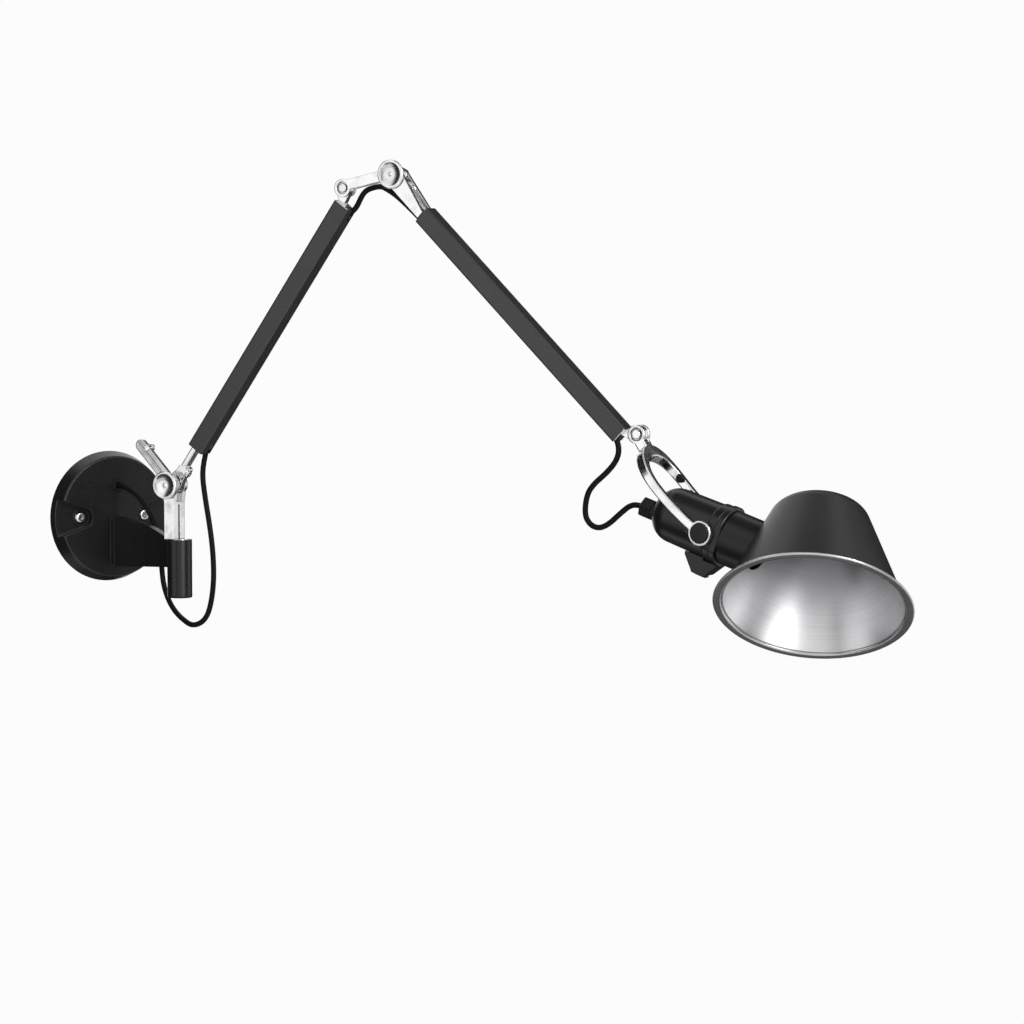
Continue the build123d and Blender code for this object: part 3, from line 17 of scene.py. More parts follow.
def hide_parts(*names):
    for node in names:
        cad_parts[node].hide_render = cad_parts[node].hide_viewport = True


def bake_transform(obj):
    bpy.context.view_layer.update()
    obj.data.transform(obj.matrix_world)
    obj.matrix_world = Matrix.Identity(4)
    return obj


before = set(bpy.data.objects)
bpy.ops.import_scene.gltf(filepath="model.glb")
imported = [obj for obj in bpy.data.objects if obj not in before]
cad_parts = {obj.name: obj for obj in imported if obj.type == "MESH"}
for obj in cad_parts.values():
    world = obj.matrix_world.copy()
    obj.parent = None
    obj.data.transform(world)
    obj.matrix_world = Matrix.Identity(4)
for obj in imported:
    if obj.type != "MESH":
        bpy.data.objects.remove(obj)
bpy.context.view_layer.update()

LOG = logging.getLogger("wall_lamp")

Point = Tuple[float, float, float]
Colour = Tuple[float, float, float]

NEAR_SIDE: Point = (-0.8988, -0.4384, 0.0)
LOWER_ARM_ALONG: Point = (0.2558, -0.5245, 0.8121)
UPPER_ARM_ALONG: Point = (0.3159, -0.6476, -0.6934)
RIM_CENTRE: Point = (0.21636, -0.59045, -0.03601)
SHADE_AXIS: Point = (0.43, 0.42, 0.8)
WORLD_UP: Point = (0.0, 0.0, 1.0)


# ---------------------------------------------------------------- shader helpers
class Value:
    """A number that varies over a surface: a node's socket with Python's own operators."""

    def __init__(self, nodes: "Nodes", socket: bpy.types.NodeSocket) -> None:
        """Wrap a socket of a node tree."""
        self.nodes = nodes
        self.socket = socket

    def _math(self, operation: str, *operands: "Operand") -> "Value":
        """Add a Math node.

        Args:
            operation: The node's operation.
            operands: Its inputs, in order.

        Returns:
            The node's result.
        """
        inputs = dict(enumerate(operands))
        return self.nodes.value(self.nodes.node("Math", {"operation": operation}, inputs))

    def __add__(self, other: "Operand") -> "Value":
        """Sum."""
        return self._math("ADD", self, other)

    def __radd__(self, other: "Operand") -> "Value":
        """Sum, reflected."""
        return self._math("ADD", other, self)

    def __sub__(self, other: "Operand") -> "Value":
        """Difference."""
        return self._math("SUBTRACT", self, other)

    def __rsub__(self, other: "Operand") -> "Value":
        """Difference, reflected."""
        return self._math("SUBTRACT", other, self)

    def __mul__(self, other: "Operand") -> "Value":
        """Product."""
        return self._math("MULTIPLY", self, other)

    def __rmul__(self, other: "Operand") -> "Value":
        """Product, reflected."""
        return self._math("MULTIPLY", other, self)

    def root(self) -> "Value":
        """Square root."""
        return self._math("SQRT", self)

    def clipped(self) -> "Value":
        """The value held between 0 and 1."""
        return self._math("MINIMUM", self._math("MAXIMUM", self, 0.0), 1.0)

    def mask(self, low: float, high: float) -> "Value":
        """Smooth step from 0 at low to 1 at high.

        Args:
            low: Where the mask starts to rise.
            high: Where it is full.

        Returns:
            The mask.
        """
        settings = {"interpolation_type": "SMOOTHSTEP"}
        inputs = {"Value": self, "From Min": low, "From Max": high}
        return self.nodes.value(self.nodes.node("MapRange", settings, inputs))


Operand = Union[Value, bpy.types.NodeSocket, float]
Tint = Union[Colour, bpy.types.NodeSocket]


class Nodes:
    """A node tree under construction, of a material or of the world."""

    def __init__(self, tree: bpy.types.NodeTree) -> None:
        """Start with an empty tree."""
        self.tree = tree
        self.tree.nodes.clear()

    def node(self, kind: str, settings: Optional[dict] = None,
             inputs: Optional[dict] = None) -> bpy.types.Node:
        """Add one node.

        Args:
            kind: The node's type without its prefix.
            settings: Its properties, set first.
            inputs: Values or links of its sockets, by name or number.

        Returns:
            The node.
        """
        made = self.tree.nodes.new("ShaderNode" + kind)
        for key, value in (settings or {}).items():
            setattr(made, key, value)
        for key, value in (inputs or {}).items():
            self.put(made.inputs[key], value)
        return made

    def put(self, socket: bpy.types.NodeSocket, value: object) -> None:
        """Give a socket its value or its link.

        Args:
            socket: The input.
            value: A number, colour or vector, or the output that feeds it.
        """
        if isinstance(value, Value):
            value = value.socket
        if isinstance(value, bpy.types.NodeSocket):
            self.tree.links.new(value, socket)
        else:
            socket.default_value = value

    def value(self, node: bpy.types.Node, output: Union[int, str] = 0) -> Value:
        """One output of a node as a number."""
        return Value(self, node.outputs[output])

    def seen(self) -> Value:
        """Mask of what is looked at: 1 for the camera, mirrors and glass, 0 where light is gathered.

        Returns:
            The mask.
        """
        path = self.node("LightPath")
        seen = self.value(path, "Is Camera Ray") + self.value(path, "Is Glossy Ray")
        return (seen + self.value(path, "Is Transmission Ray")).clipped()


class Shader(Nodes):
    """A material under construction."""

    def __init__(self, name: str) -> None:
        """Start an empty material whose patterns sit in the piece's own coordinates."""
        self.material = bpy.data.materials.new(name)
        self.material.use_nodes = True
        super().__init__(self.material.node_tree)
        self.place = self.node("TexCoord").outputs["Object"]

    def offset(self, start: Point) -> bpy.types.NodeSocket:
        """The way from a point to the place on the surface."""
        return self.node("VectorMath", {"operation": "SUBTRACT"}, {0: self.place, 1: start}).outputs[0]

    def along(self, direction: Point, start: Point = (0.0, 0.0, 0.0)) -> Value:
        """Distance along a direction.

        Args:
            direction: Unit vector.
            start: Where the distance is 0.

        Returns:
            The distance, in metres.
        """
        inputs = {0: self.offset(start), 1: direction}
        return self.value(self.node("VectorMath", {"operation": "DOT_PRODUCT"}, inputs), "Value")

    def away(self, start: Point) -> Value:
        """Distance from a point, in metres."""
        length = self.node("VectorMath", {"operation": "LENGTH"}, {0: self.offset(start)})
        return self.value(length, "Value")

    def packed(self, x: Operand, y: Operand = 0.0, z: Operand = 0.0) -> bpy.types.NodeSocket:
        """Three numbers as a vector."""
        return self.node("CombineXYZ", None, {0: x, 1: y, 2: z}).outputs[0]

    def noise(self, scale: float, detail: float = 2.0, rough: float = 0.5,
              place: Optional[bpy.types.NodeSocket] = None) -> Value:
        """Noise from 0 to 1.

        Args:
            scale: Features per metre.
            detail: Octaves.
            rough: How strong the finer octaves are.
            place: Where it is read, the piece's own coordinates if not given.

        Returns:
            The noise.
        """
        inputs = {"Vector": place or self.place, "Scale": scale, "Detail": detail, "Roughness": rough}
        return self.value(self.node("TexNoise", None, inputs))

    def brushed(self, direction: Point, across: float, along: float) -> Value:
        """Noise drawn out along a direction.

        Args:
            direction: Unit vector of the strokes.
            across: Features per metre across the strokes.
            along: Features per metre along them.

        Returns:
            The noise.
        """
        run = np.array(direction)
        helper = np.array(WORLD_UP) if abs(run[2]) < 0.9 else np.array((1.0, 0.0, 0.0))
        side = np.cross(run, helper)
        side = side / np.linalg.norm(side)
        rise = np.cross(run, side)
        place = self.packed(self.along(tuple(run)) * along, self.along(tuple(side)) * across,
                            self.along(tuple(rise)) * across)
        return self.noise(1.0, 3.0, 0.55, place)

    def openness(self, distance: float) -> Value:
        """How open a place is, from 0 deep in a corner to 1 on a free face.

        Args:
            distance: How far a neighbouring surface counts, in metres.

        Returns:
            The openness.
        """
        return self.value(self.node("AmbientOcclusion", {"samples": 8}, {"Distance": distance}), "AO")

    def blend(self, mask: Operand, first: Tint, second: Tint) -> bpy.types.NodeSocket:
        """Mix two colours.

        Args:
            mask: Share of the second colour.
            first: Colour where the mask is 0.
            second: Colour where it is 1.

        Returns:
            The mixed colour.
        """
        inputs = {0: mask}
        for number, tint in ((6, first), (7, second)):
            inputs[number] = (*tint, 1.0) if isinstance(tint, tuple) else tint
        return self.node("Mix", {"data_type": "RGBA"}, inputs).outputs[2]

    def bump(self, height: Value, distance: float, strength: float = 1.0,
             edge: float = 0.0) -> bpy.types.NodeSocket:
        """Bump from a height.

        Args:
            height: Height from 0 to 1.
            distance: Depth in metres of a height of 1.
            strength: Share of the bump that shows.
            edge: Radius in metres that softens the piece's edges, or 0.

        Returns:
            The normal.
        """
        inputs = {"Strength": strength, "Distance": distance, "Height": height}
        if edge > 0.0:
            inputs["Normal"] = self.node("Bevel", {"samples": 8}, {"Radius": edge}).outputs[0]
        return self.node("Bump", None, inputs).outputs[0]

    def glow(self, level: float) -> bpy.types.NodeSocket:
        """Emission of one level of grey."""
        inputs = {"Color": (level, level, level, 1.0), "Strength": 1.0}
        return self.node("Emission", None, inputs).outputs[0]

    def close(self, surface: bpy.types.NodeSocket) -> bpy.types.Material:
        """Link the surface to the output and hand the material over."""
        self.node("OutputMaterial", None, {0: surface})
        return self.material

    def finish(self, inputs: dict) -> bpy.types.Material:
        """Close the material with its main shader.

        Args:
            inputs: Values or links of the main shader's sockets.

        Returns:
            The material.
        """
        return self.close(self.node("BsdfPrincipled", None, inputs).outputs[0])


# ---------------------------------------------------------------- finishes
@dataclass(frozen=True)
class Coat:
    """Satin coat of paint with a faint orange-peel skin and rubbed patches."""

    name: str
    colour: Colour
    worn: Colour
    roughness: float
    specular: float
    strokes: Optional[Point] = None
    patch: float = 18.0
    peel: float = 1100.0
    depth: float = 0.00003
    edge: float = 0.0004

    def build(self) -> bpy.types.Material:
        """Make the material: rubbed patches, peel and dots are noises, and marks run along any strokes.

        Returns:
            The material.
        """
        shader = Shader(self.name)
        patches = shader.noise(self.patch, 3.0)
        peel = shader.noise(self.peel, 2.0)
        dots = shader.noise(self.peel * 4.0, 1.0)
        marks = shader.brushed(self.strokes, 900.0, 25.0) if self.strokes else shader.noise(420.0, 3.0)
        shade = (patches * 0.55 + dots * 0.25 + marks * 0.2).mask(0.3, 0.7)
        rough = self.roughness + (patches - 0.5) * 0.16 + (marks - 0.5) * 0.08 + (dots - 0.5) * 0.05
        height = peel * 0.6 + dots * 0.3 + marks * 0.1
        return shader.finish({
            "Base Color": shader.blend(shade, self.colour, self.worn),
            "Roughness": rough.clipped(),
            "Specular IOR Level": self.specular,
            "Normal": shader.bump(height, self.depth, 0.6, self.edge),
        })


@dataclass(frozen=True)
class Casting:
    """Polished metal: soft waves, buffing strokes, dull smudges and painted shade in the recesses."""

    name: str
    colour: Colour
    dull: Colour
    roughness: float
    wave: float = 0.00003
    strokes: Point = WORLD_UP
    edge: float = 0.0008
    recess: float = 0.003
    # painted shade: dark colour blended in where ambient occlusion finds a close neighbour
    painted_recess_shade: Colour = (0.03, 0.03, 0.032)

    def build(self) -> bpy.types.Material:
        """Make the material: smudges dull the metal, and painted shade darkens the colour where a
        neighbouring surface is close.

        Returns:
            The material.
        """
        shader = Shader(self.name)
        waves = shader.noise(60.0, 1.0)
        smudge = shader.noise(110.0, 3.0, 0.5)
        buffing = shader.brushed(self.strokes, 2200.0, 60.0)
        tarnish = (smudge * 0.75 + buffing * 0.25).mask(0.42, 0.72)
        # painted shade: ambient occlusion darkens the colour in recesses and at the seams between parts
        painted_recess_shade = 1.0 - shader.openness(self.recess).mask(0.25, 0.62)
        metal = shader.blend(tarnish, self.colour, self.dull)
        rough = self.roughness + tarnish * 0.1 + (buffing - 0.5) * 0.05
        height = waves + buffing * 0.03
        return shader.finish({
            "Base Color": shader.blend(painted_recess_shade * 0.9, metal, self.painted_recess_shade),
            "Metallic": 1.0,
            "Roughness": rough.clipped(),
            "Normal": shader.bump(height, self.wave, 1.0, self.edge),
        })


@dataclass(frozen=True)
class SpunMetal:
    """Sheet metal spun on a lathe: fine rings about an axis, satin at the mouth, and painted shade that
    darkens it deeper in the bell.
    """

    name: str
    colour: Colour
    dull: Colour
    roughness: float
    centre: Point
    axis: Point
    # deep: colour of the painted shade deep in the bell, blended in between deep_from and deep_to along the
    # axis
    deep: Colour = (0.3, 0.3, 0.31)
    rings: float = 900.0
    bands: float = 90.0
    depth: float = 0.00003
    edge: float = 0.0
    deep_from: float = 0.015
    deep_to: float = 0.07

    def build(self) -> bpy.types.Material:
        """Make the material: the rings are noise read by height along the axis and distance from it.

        Returns:
            The material.
        """
        shader = Shader(self.name)
        height = shader.along(self.axis, self.centre)
        length = shader.away(self.centre)
        radius = (length * length - height * height).clipped().root()
        rings = shader.noise(1.0, 4.0, 0.6, shader.packed(height * self.rings, radius * self.rings))
        broad = shader.noise(1.0, 2.0, 0.5, shader.packed(height * self.bands, radius * self.bands))
        cloud = shader.noise(26.0, 3.0)
        stain = (rings * 0.4 + broad * 0.3 + cloud * 0.3).mask(0.36, 0.66)
        rough = self.roughness + (broad - 0.5) * 0.1 + (rings - 0.5) * 0.1 + (cloud - 0.5) * 0.08
        metal = shader.blend(stain, self.dull, self.colour)
        # painted shade: the colour darkens towards the crown of the bell, by height along the axis
        painted_deep_shade = (height + (cloud - 0.5) * 0.02).mask(self.deep_from, self.deep_to)
        return shader.finish({
            "Base Color": shader.blend(painted_deep_shade, metal, self.deep),
            "Metallic": 1.0,
            "Roughness": rough.clipped(),
            "Normal": shader.bump(rings * 0.6 + broad * 0.4, self.depth, 0.7, self.edge),
        })


@dataclass(frozen=True)
class Moulding:
    """Moulded plastic with a spark-eroded skin."""

    name: str
    colour: Colour
    worn: Colour
    roughness: float
    specular: float
    grain: float = 3200.0
    depth: float = 0.00002
    edge: float = 0.0003

    def build(self) -> bpy.types.Material:
        """Make the material: a fine skin over the broad marks of the flow in the mould.

        Returns:
            The material.
        """
        shader = Shader(self.name)
        skin = shader.noise(self.grain, 2.0)
        flow = shader.noise(70.0, 3.0)
        shade = (skin * 0.4 + flow * 0.6).mask(0.35, 0.68)
        return shader.finish({
            "Base Color": shader.blend(shade, self.colour, self.worn),
            "Roughness": (self.roughness + (skin - 0.5) * 0.14 + (flow - 0.5) * 0.12).clipped(),
            "Specular IOR Level": self.specular,
            "Normal": shader.bump(skin, self.depth, 0.8, self.edge),
        })


@dataclass(frozen=True)
class Sheath:
    """Cord sheath: extruded rubber with faint lines along it, read from the cord's own UV map."""

    name: str
    colour: Colour
    worn: Colour
    roughness: float
    specular: float = 0.08
    depth: float = 0.00003

    def build(self) -> bpy.types.Material:
        """Make the material: the lines are noise that is fine round the cord and long along it.

        Returns:
            The material.
        """
        shader = Shader(self.name)
        unwrapped = shader.node("UVMap", {"uv_map": SupplyCord.UV_NAME}).outputs[0]
        parts = shader.node("SeparateXYZ", None, {0: unwrapped})
        turn = shader.value(parts, 0)
        run = shader.value(parts, 1)
        lines = shader.noise(1.0, 2.0, 0.5, shader.packed(turn * 30.0, run * 2.0))
        skin = shader.noise(1800.0, 3.0)
        dust = shader.noise(45.0, 3.0)
        shade = (lines * 0.3 + skin * 0.3 + dust * 0.4).mask(0.34, 0.66)
        return shader.finish({
            "Base Color": shader.blend(shade, self.colour, self.worn),
            "Roughness": (self.roughness + (skin - 0.5) * 0.12 + (dust - 0.5) * 0.1).clipped(),
            "Specular IOR Level": self.specular,
            "Normal": shader.bump(lines * 0.6 + skin * 0.4, self.depth, 0.7),
        })


class Finish(Enum):
    """The finishes of the lamp's pieces."""

    BLACK_COAT = Coat("black_coat", (0.0055, 0.0055, 0.006), (0.0105, 0.0105, 0.011), 0.29, 0.4,
                      edge=0.0009)
    SHADE_COAT = Coat("shade_coat", (0.007, 0.007, 0.0077), (0.012, 0.012, 0.0128), 0.33, 0.3)
    LOWER_TUBE_COAT = Coat("lower_tube_coat", (0.0055, 0.0055, 0.0058), (0.0105, 0.0105, 0.011), 0.34, 0.8,
                           LOWER_ARM_ALONG)
    UPPER_TUBE_COAT = Coat("upper_tube_coat", (0.0055, 0.0055, 0.0058), (0.0105, 0.0105, 0.011), 0.34, 0.8,
                           UPPER_ARM_ALONG)
    CAST_ALUMINIUM = Casting("cast_aluminium", (0.84, 0.84, 0.85), (0.73, 0.73, 0.74), 0.16, edge=0.0006)
    YOKE_ALUMINIUM = Casting("yoke_aluminium", (0.82, 0.82, 0.83), (0.7, 0.7, 0.71), 0.12, edge=0.0016)
    LEVER_ALUMINIUM = Casting("lever_aluminium", (0.68, 0.68, 0.69), (0.54, 0.54, 0.55), 0.24, edge=0.0008)
    CHROME = Casting("chrome", (0.8, 0.8, 0.81), (0.7, 0.7, 0.71), 0.1, 0.00002, edge=0.0004)
    CAP_CHROME = Casting("cap_chrome", (0.86, 0.86, 0.87), (0.76, 0.76, 0.77), 0.22, 0.00002, edge=0.0006)
    STEEL = Casting("plated_steel", (0.62, 0.62, 0.63), (0.5, 0.5, 0.5), 0.24, 0.00002, edge=0.0002)
    BRASS = Casting("plain_brass", (0.76, 0.58, 0.28), (0.6, 0.44, 0.2), 0.2, 0.00002, edge=0.0002)
    SPUN = SpunMetal("spun_aluminium", (0.8, 0.8, 0.81), (0.68, 0.68, 0.69), 0.36, RIM_CENTRE, SHADE_AXIS)
    BEAD = SpunMetal("bead_aluminium", (0.62, 0.62, 0.63), (0.5, 0.5, 0.51), 0.24, RIM_CENTRE, SHADE_AXIS,
                     edge=0.0016)
    PLASTIC = Moulding("black_plastic", (0.006, 0.006, 0.006), (0.012, 0.012, 0.012), 0.38, 0.25)
    RUBBER = Moulding("black_rubber", (0.007, 0.007, 0.007), (0.013, 0.013, 0.013), 0.55, 0.15)
    SHEATH = Sheath("cord_sheath", (0.0035, 0.0035, 0.0035), (0.008, 0.008, 0.008), 0.45)


class Wardrobe:
    """Builds each finish once and hands it out."""

    def __init__(self) -> None:
        """Start with nothing built."""
        self.built: Dict[Finish, bpy.types.Material] = {}

    def material(self, finish: Finish) -> bpy.types.Material:
        """The material of a finish."""
        if finish not in self.built:
            self.built[finish] = finish.value.build()
        return self.built[finish]

    def dress(self, piece: bpy.types.Object, finish: Finish) -> None:
        """Give a piece one finish all over.

        Args:
            piece: The piece.
            finish: Its finish.
        """
        piece.data.materials.clear()
        piece.data.materials.append(self.material(finish))


# ---------------------------------------------------------------- groups of carried-over pieces
@dataclass
class Group:
    """A sub-assembly whose pieces are carried over as they are and only get their finish."""

    name: str
    finishes: Dict[Finish, Tuple[str, ...]]

    def dress(self, wardrobe: Wardrobe) -> None:
        """Dress every piece of the group.

        Args:
            wardrobe: Where the materials come from.
        """
        for finish, names in self.finishes.items():
            for name in names:
                wardrobe.dress(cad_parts[name], finish)
                LOG.info("%s: %s in %s", self.name, name, finish.name)


@dataclass
class WallPlate(Group):
    """The dish on the wall, its bracket with the upright sleeve, and the cord's entry."""

    name: str = "wall plate"
    finishes: Dict[Finish, Tuple[str, ...]] = field(default_factory=lambda: {
        Finish.BLACK_COAT: ("wall_plate", "wall_bracket"),
        Finish.CHROME: ("cover_screws",),
        Finish.STEEL: ("wall_strap", "bracket_screws"),
        Finish.PLASTIC: ("cord_clamp", "terminal_block", "sleeve_bushes", "sleeve_cap"),
        Finish.RUBBER: ("cord_grommet",),
        Finish.BRASS: ("terminal_screws",),
    })


@dataclass
class Swivel(Group):
    """The fork that turns in the sleeve, with its tension lever and dished cap."""

    name: str = "swivel"
    finishes: Dict[Finish, Tuple[str, ...]] = field(default_factory=lambda: {
        Finish.CAST_ALUMINIUM: ("swivel_fork",),
        Finish.LEVER_ALUMINIUM: ("tension_lever",),
        Finish.CHROME: ("lever_anchor_pin", "shoulder_bolt"),
        Finish.CAP_CHROME: ("shoulder_cap",),
        Finish.STEEL: ("spigot_clip",),
    })


@dataclass
class LowerArm(Group):
    """The lower square tube between its fork and tongue castings."""

    name: str = "lower arm"
    finishes: Dict[Finish, Tuple[str, ...]] = field(default_factory=lambda: {
        Finish.CAST_ALUMINIUM: ("lower_fork", "lower_tongue"),
        Finish.LOWER_TUBE_COAT: ("lower_tube",),
        Finish.CHROME: ("knuckle_screw",),
        Finish.PLASTIC: ("shoulder_washers",),
        Finish.STEEL: ("lower_balance_spring",),
        Finish.RUBBER: ("cord_in_lower_tube",),
    })


@dataclass
class ElbowLink(Group):
    """The link between the two arms, with its pins and dished cap."""

    name: str = "elbow link"
    finishes: Dict[Finish, Tuple[str, ...]] = field(default_factory=lambda: {
        Finish.CAST_ALUMINIUM: ("elbow_link",),
        Finish.CHROME: ("link_pin", "elbow_bolt"),
        Finish.CAP_CHROME: ("elbow_cap",),
        Finish.PLASTIC: ("elbow_washers",),
    })


@dataclass
class UpperArm(Group):
    """The upper square tube with its fork, tongue and tension rod."""

    name: str = "upper arm"
    finishes: Dict[Finish, Tuple[str, ...]] = field(default_factory=lambda: {
        Finish.CAST_ALUMINIUM: ("upper_fork", "upper_tongue"),
        Finish.UPPER_TUBE_COAT: ("upper_tube",),
        Finish.CHROME: ("tension_rod",),
        Finish.STEEL: ("upper_balance_spring",),
        Finish.RUBBER: ("cord_in_upper_tube",),
    })


@dataclass
class Yoke(Group):
    """The U-shaped fork that holds the lampholder."""

    name: str = "yoke"
    finishes: Dict[Finish, Tuple[str, ...]] = field(default_factory=lambda: {
        Finish.YOKE_ALUMINIUM: ("yoke",),
        Finish.CHROME: ("yoke_pin",),
        Finish.RUBBER: ("yoke_bumper",),
        Finish.PLASTIC: ("tilt_caps",),
    })


@dataclass
class Lampholder(Group):
    """The housing of the lamp socket and switch, with the cord's gland."""

    name: str = "lampholder"
    finishes: Dict[Finish, Tuple[str, ...]] = field(default_factory=lambda: {
        Finish.BLACK_COAT: ("lampholder_cover", "lampholder_collar", "switch_case"),
        Finish.CHROME: ("tilt_studs",),
        Finish.PLASTIC: ("lamp_socket", "switch_button", "cord_gland", "gland_nut"),
        Finish.BRASS: ("socket_shell", "socket_contact"),
        Finish.RUBBER: ("cord_in_lampholder",),
    })


@dataclass
class Shade(Group):
    """The bell with its neck, reflector liner and rim bead."""

    name: str = "shade"
    finishes: Dict[Finish, Tuple[str, ...]] = field(default_factory=lambda: {
        Finish.SHADE_COAT: ("shade", "neck"),
        Finish.SPUN: ("reflector_liner",),
        Finish.BEAD: ("shade_rim",),
    })


# ---------------------------------------------------------------- supply cord
def placed(name: str, data: bpy.types.ID) -> bpy.types.Object:
    """Put a mesh, lamp or camera into the scene.

    Args:
        name: The object's name.
        data: What it shows.

    Returns:
        The object.
    """
    made = bpy.data.objects.new(name, data)
    bpy.context.scene.collection.objects.link(made)
    return made


@dataclass
class CordStretch:
    """One free stretch of the supply cord, running across one joint."""

    name: str
    node: str
    length: float
    bodies: Tuple[str, str]
    points: Tuple[Point, ...]
    with_pieces: Tuple[str, ...] = ()


@dataclass
class SupplyCord:
    """The round supply cord, made as tubes round smooth lines."""

    UV_NAME = "sheath"

    stretches: Sequence[CordStretch]
    radius: float = 0.002
    sides: int = 24
    reference: Point = NEAR_SIDE
    resolution: int = 20
    slot: str = "cord_rubber"

    def centreline(self, stretch: CordStretch) -> np.ndarray:
        """Points of the smooth line whose control points are the stretch's points.

        Args:
            stretch: The stretch.

        Returns:
            The line's points, one row each.
        """
        curve = bpy.data.curves.new(stretch.name + "_line", "CURVE")
        curve.dimensions = "3D"
        curve.resolution_u = self.resolution
        spline = curve.splines.new("NURBS")
        spline.points.add(len(stretch.points) - 1)
        spline.points.foreach_set("co", np.array([(*p, 1.0) for p in stretch.points], np.float32).ravel())
        spline.order_u = 3
        spline.use_endpoint_u = True
        holder = bpy.data.objects.new(curve.name, curve)
        mesh = bpy.data.meshes.new_from_object(holder)
        line = np.empty(len(mesh.vertices) * 3)
        mesh.vertices.foreach_get("co", line)
        bpy.data.meshes.remove(mesh)
        bpy.data.objects.remove(holder)
        bpy.data.curves.remove(curve)
        return line.reshape(-1, 3)

    def rings(self, line: np.ndarray) -> np.ndarray:
        """Rings of points round a line.

        Each ring is the line's point plus the radius times the cosine of the turn along one side
        vector and its sine along the other; both are square to the line, and the first one is the
        reference direction with its share along the line taken away.

        Args:
            line: The line's points.

        Returns:
            The points, by ring and turn.
        """
        along = np.gradient(line, axis=0)
        along /= np.linalg.norm(along, axis=1)[:, None]
        reference = np.array(self.reference)
        first = reference - (along @ reference)[:, None] * along
        first /= np.linalg.norm(first, axis=1)[:, None]
        second = np.cross(along, first)
        turn = np.linspace(0.0, 2 * math.pi, self.sides, endpoint=False)
        return line[:, None] + self.radius * (
            np.cos(turn)[None, :, None] * first[:, None] + np.sin(turn)[None, :, None] * second[:, None]
        )

    def tube(self, name: str, line: np.ndarray) -> bpy.types.Object:
        """Closed tube round a line: quads between neighbouring rings, and a fan over each end.

        The unwrapping runs from 0 to 1 round the tube, and along it by its length over twice the
        tube's diameter.

        Args:
            name: The piece's name.
            line: The line's points.

        Returns:
            The piece.
        """
        count, sides = len(line), self.sides
        vertices = np.concatenate([self.rings(line).reshape(-1, 3), line[:1], line[-1:]])
        row, column = np.meshgrid(np.arange(count - 1), np.arange(sides), indexing="ij")
        after = (column + 1) % sides
        quads = np.stack([row * sides + column, row * sides + after,
                          (row + 1) * sides + after, (row + 1) * sides + column], -1).reshape(-1, 4)
        near = np.arange(sides)
        next_one = (near + 1) % sides
        first_hub = np.full(sides, count * sides)
        last_row = (count - 1) * sides
        start_cap = np.stack([first_hub, next_one, near], -1)
        end_cap = np.stack([first_hub + 1, last_row + near, last_row + next_one], -1)
        faces = [*quads.tolist(), *start_cap.tolist(), *end_cap.tolist()]
        mesh = bpy.data.meshes.new(name)
        mesh.from_pydata(vertices.tolist(), [], faces)
        steps = np.concatenate([[0.0], np.cumsum(np.linalg.norm(np.diff(line, axis=0), axis=1))])
        turn_share = np.stack([column, column + 1, column + 1, column], -1) / sides
        run = np.stack([steps[row], steps[row], steps[row + 1], steps[row + 1]], -1)
        unwrapped = np.stack([turn_share, run / (4 * self.radius)], -1).reshape(-1, 2)
        caps = np.zeros((2 * sides * 3, 2))
        layer = mesh.uv_layers.new(name=self.UV_NAME)
        layer.data.foreach_set("uv", np.concatenate([unwrapped, caps]).astype(np.float32).ravel())
        smooth = np.concatenate([np.ones(len(quads), bool), np.zeros(2 * sides, bool)])
        mesh.polygons.foreach_set("use_smooth", smooth)
        mesh.update()
        return placed(name, mesh)

    def build(self, wardrobe: Wardrobe) -> None:
        """Make every stretch, dress it, and hide the frame's cord piece that it takes the place of.

        Args:
            wardrobe: Where the materials come from.
        """
        for stretch in self.stretches:
            line = self.centreline(stretch)
            piece = self.tube(stretch.name, line)
            wardrobe.dress(piece, Finish.SHEATH)
            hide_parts(stretch.node)
            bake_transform(piece)
            LOG.info("cord: %s, %.1f mm", stretch.name, 1000 * stretch.length)


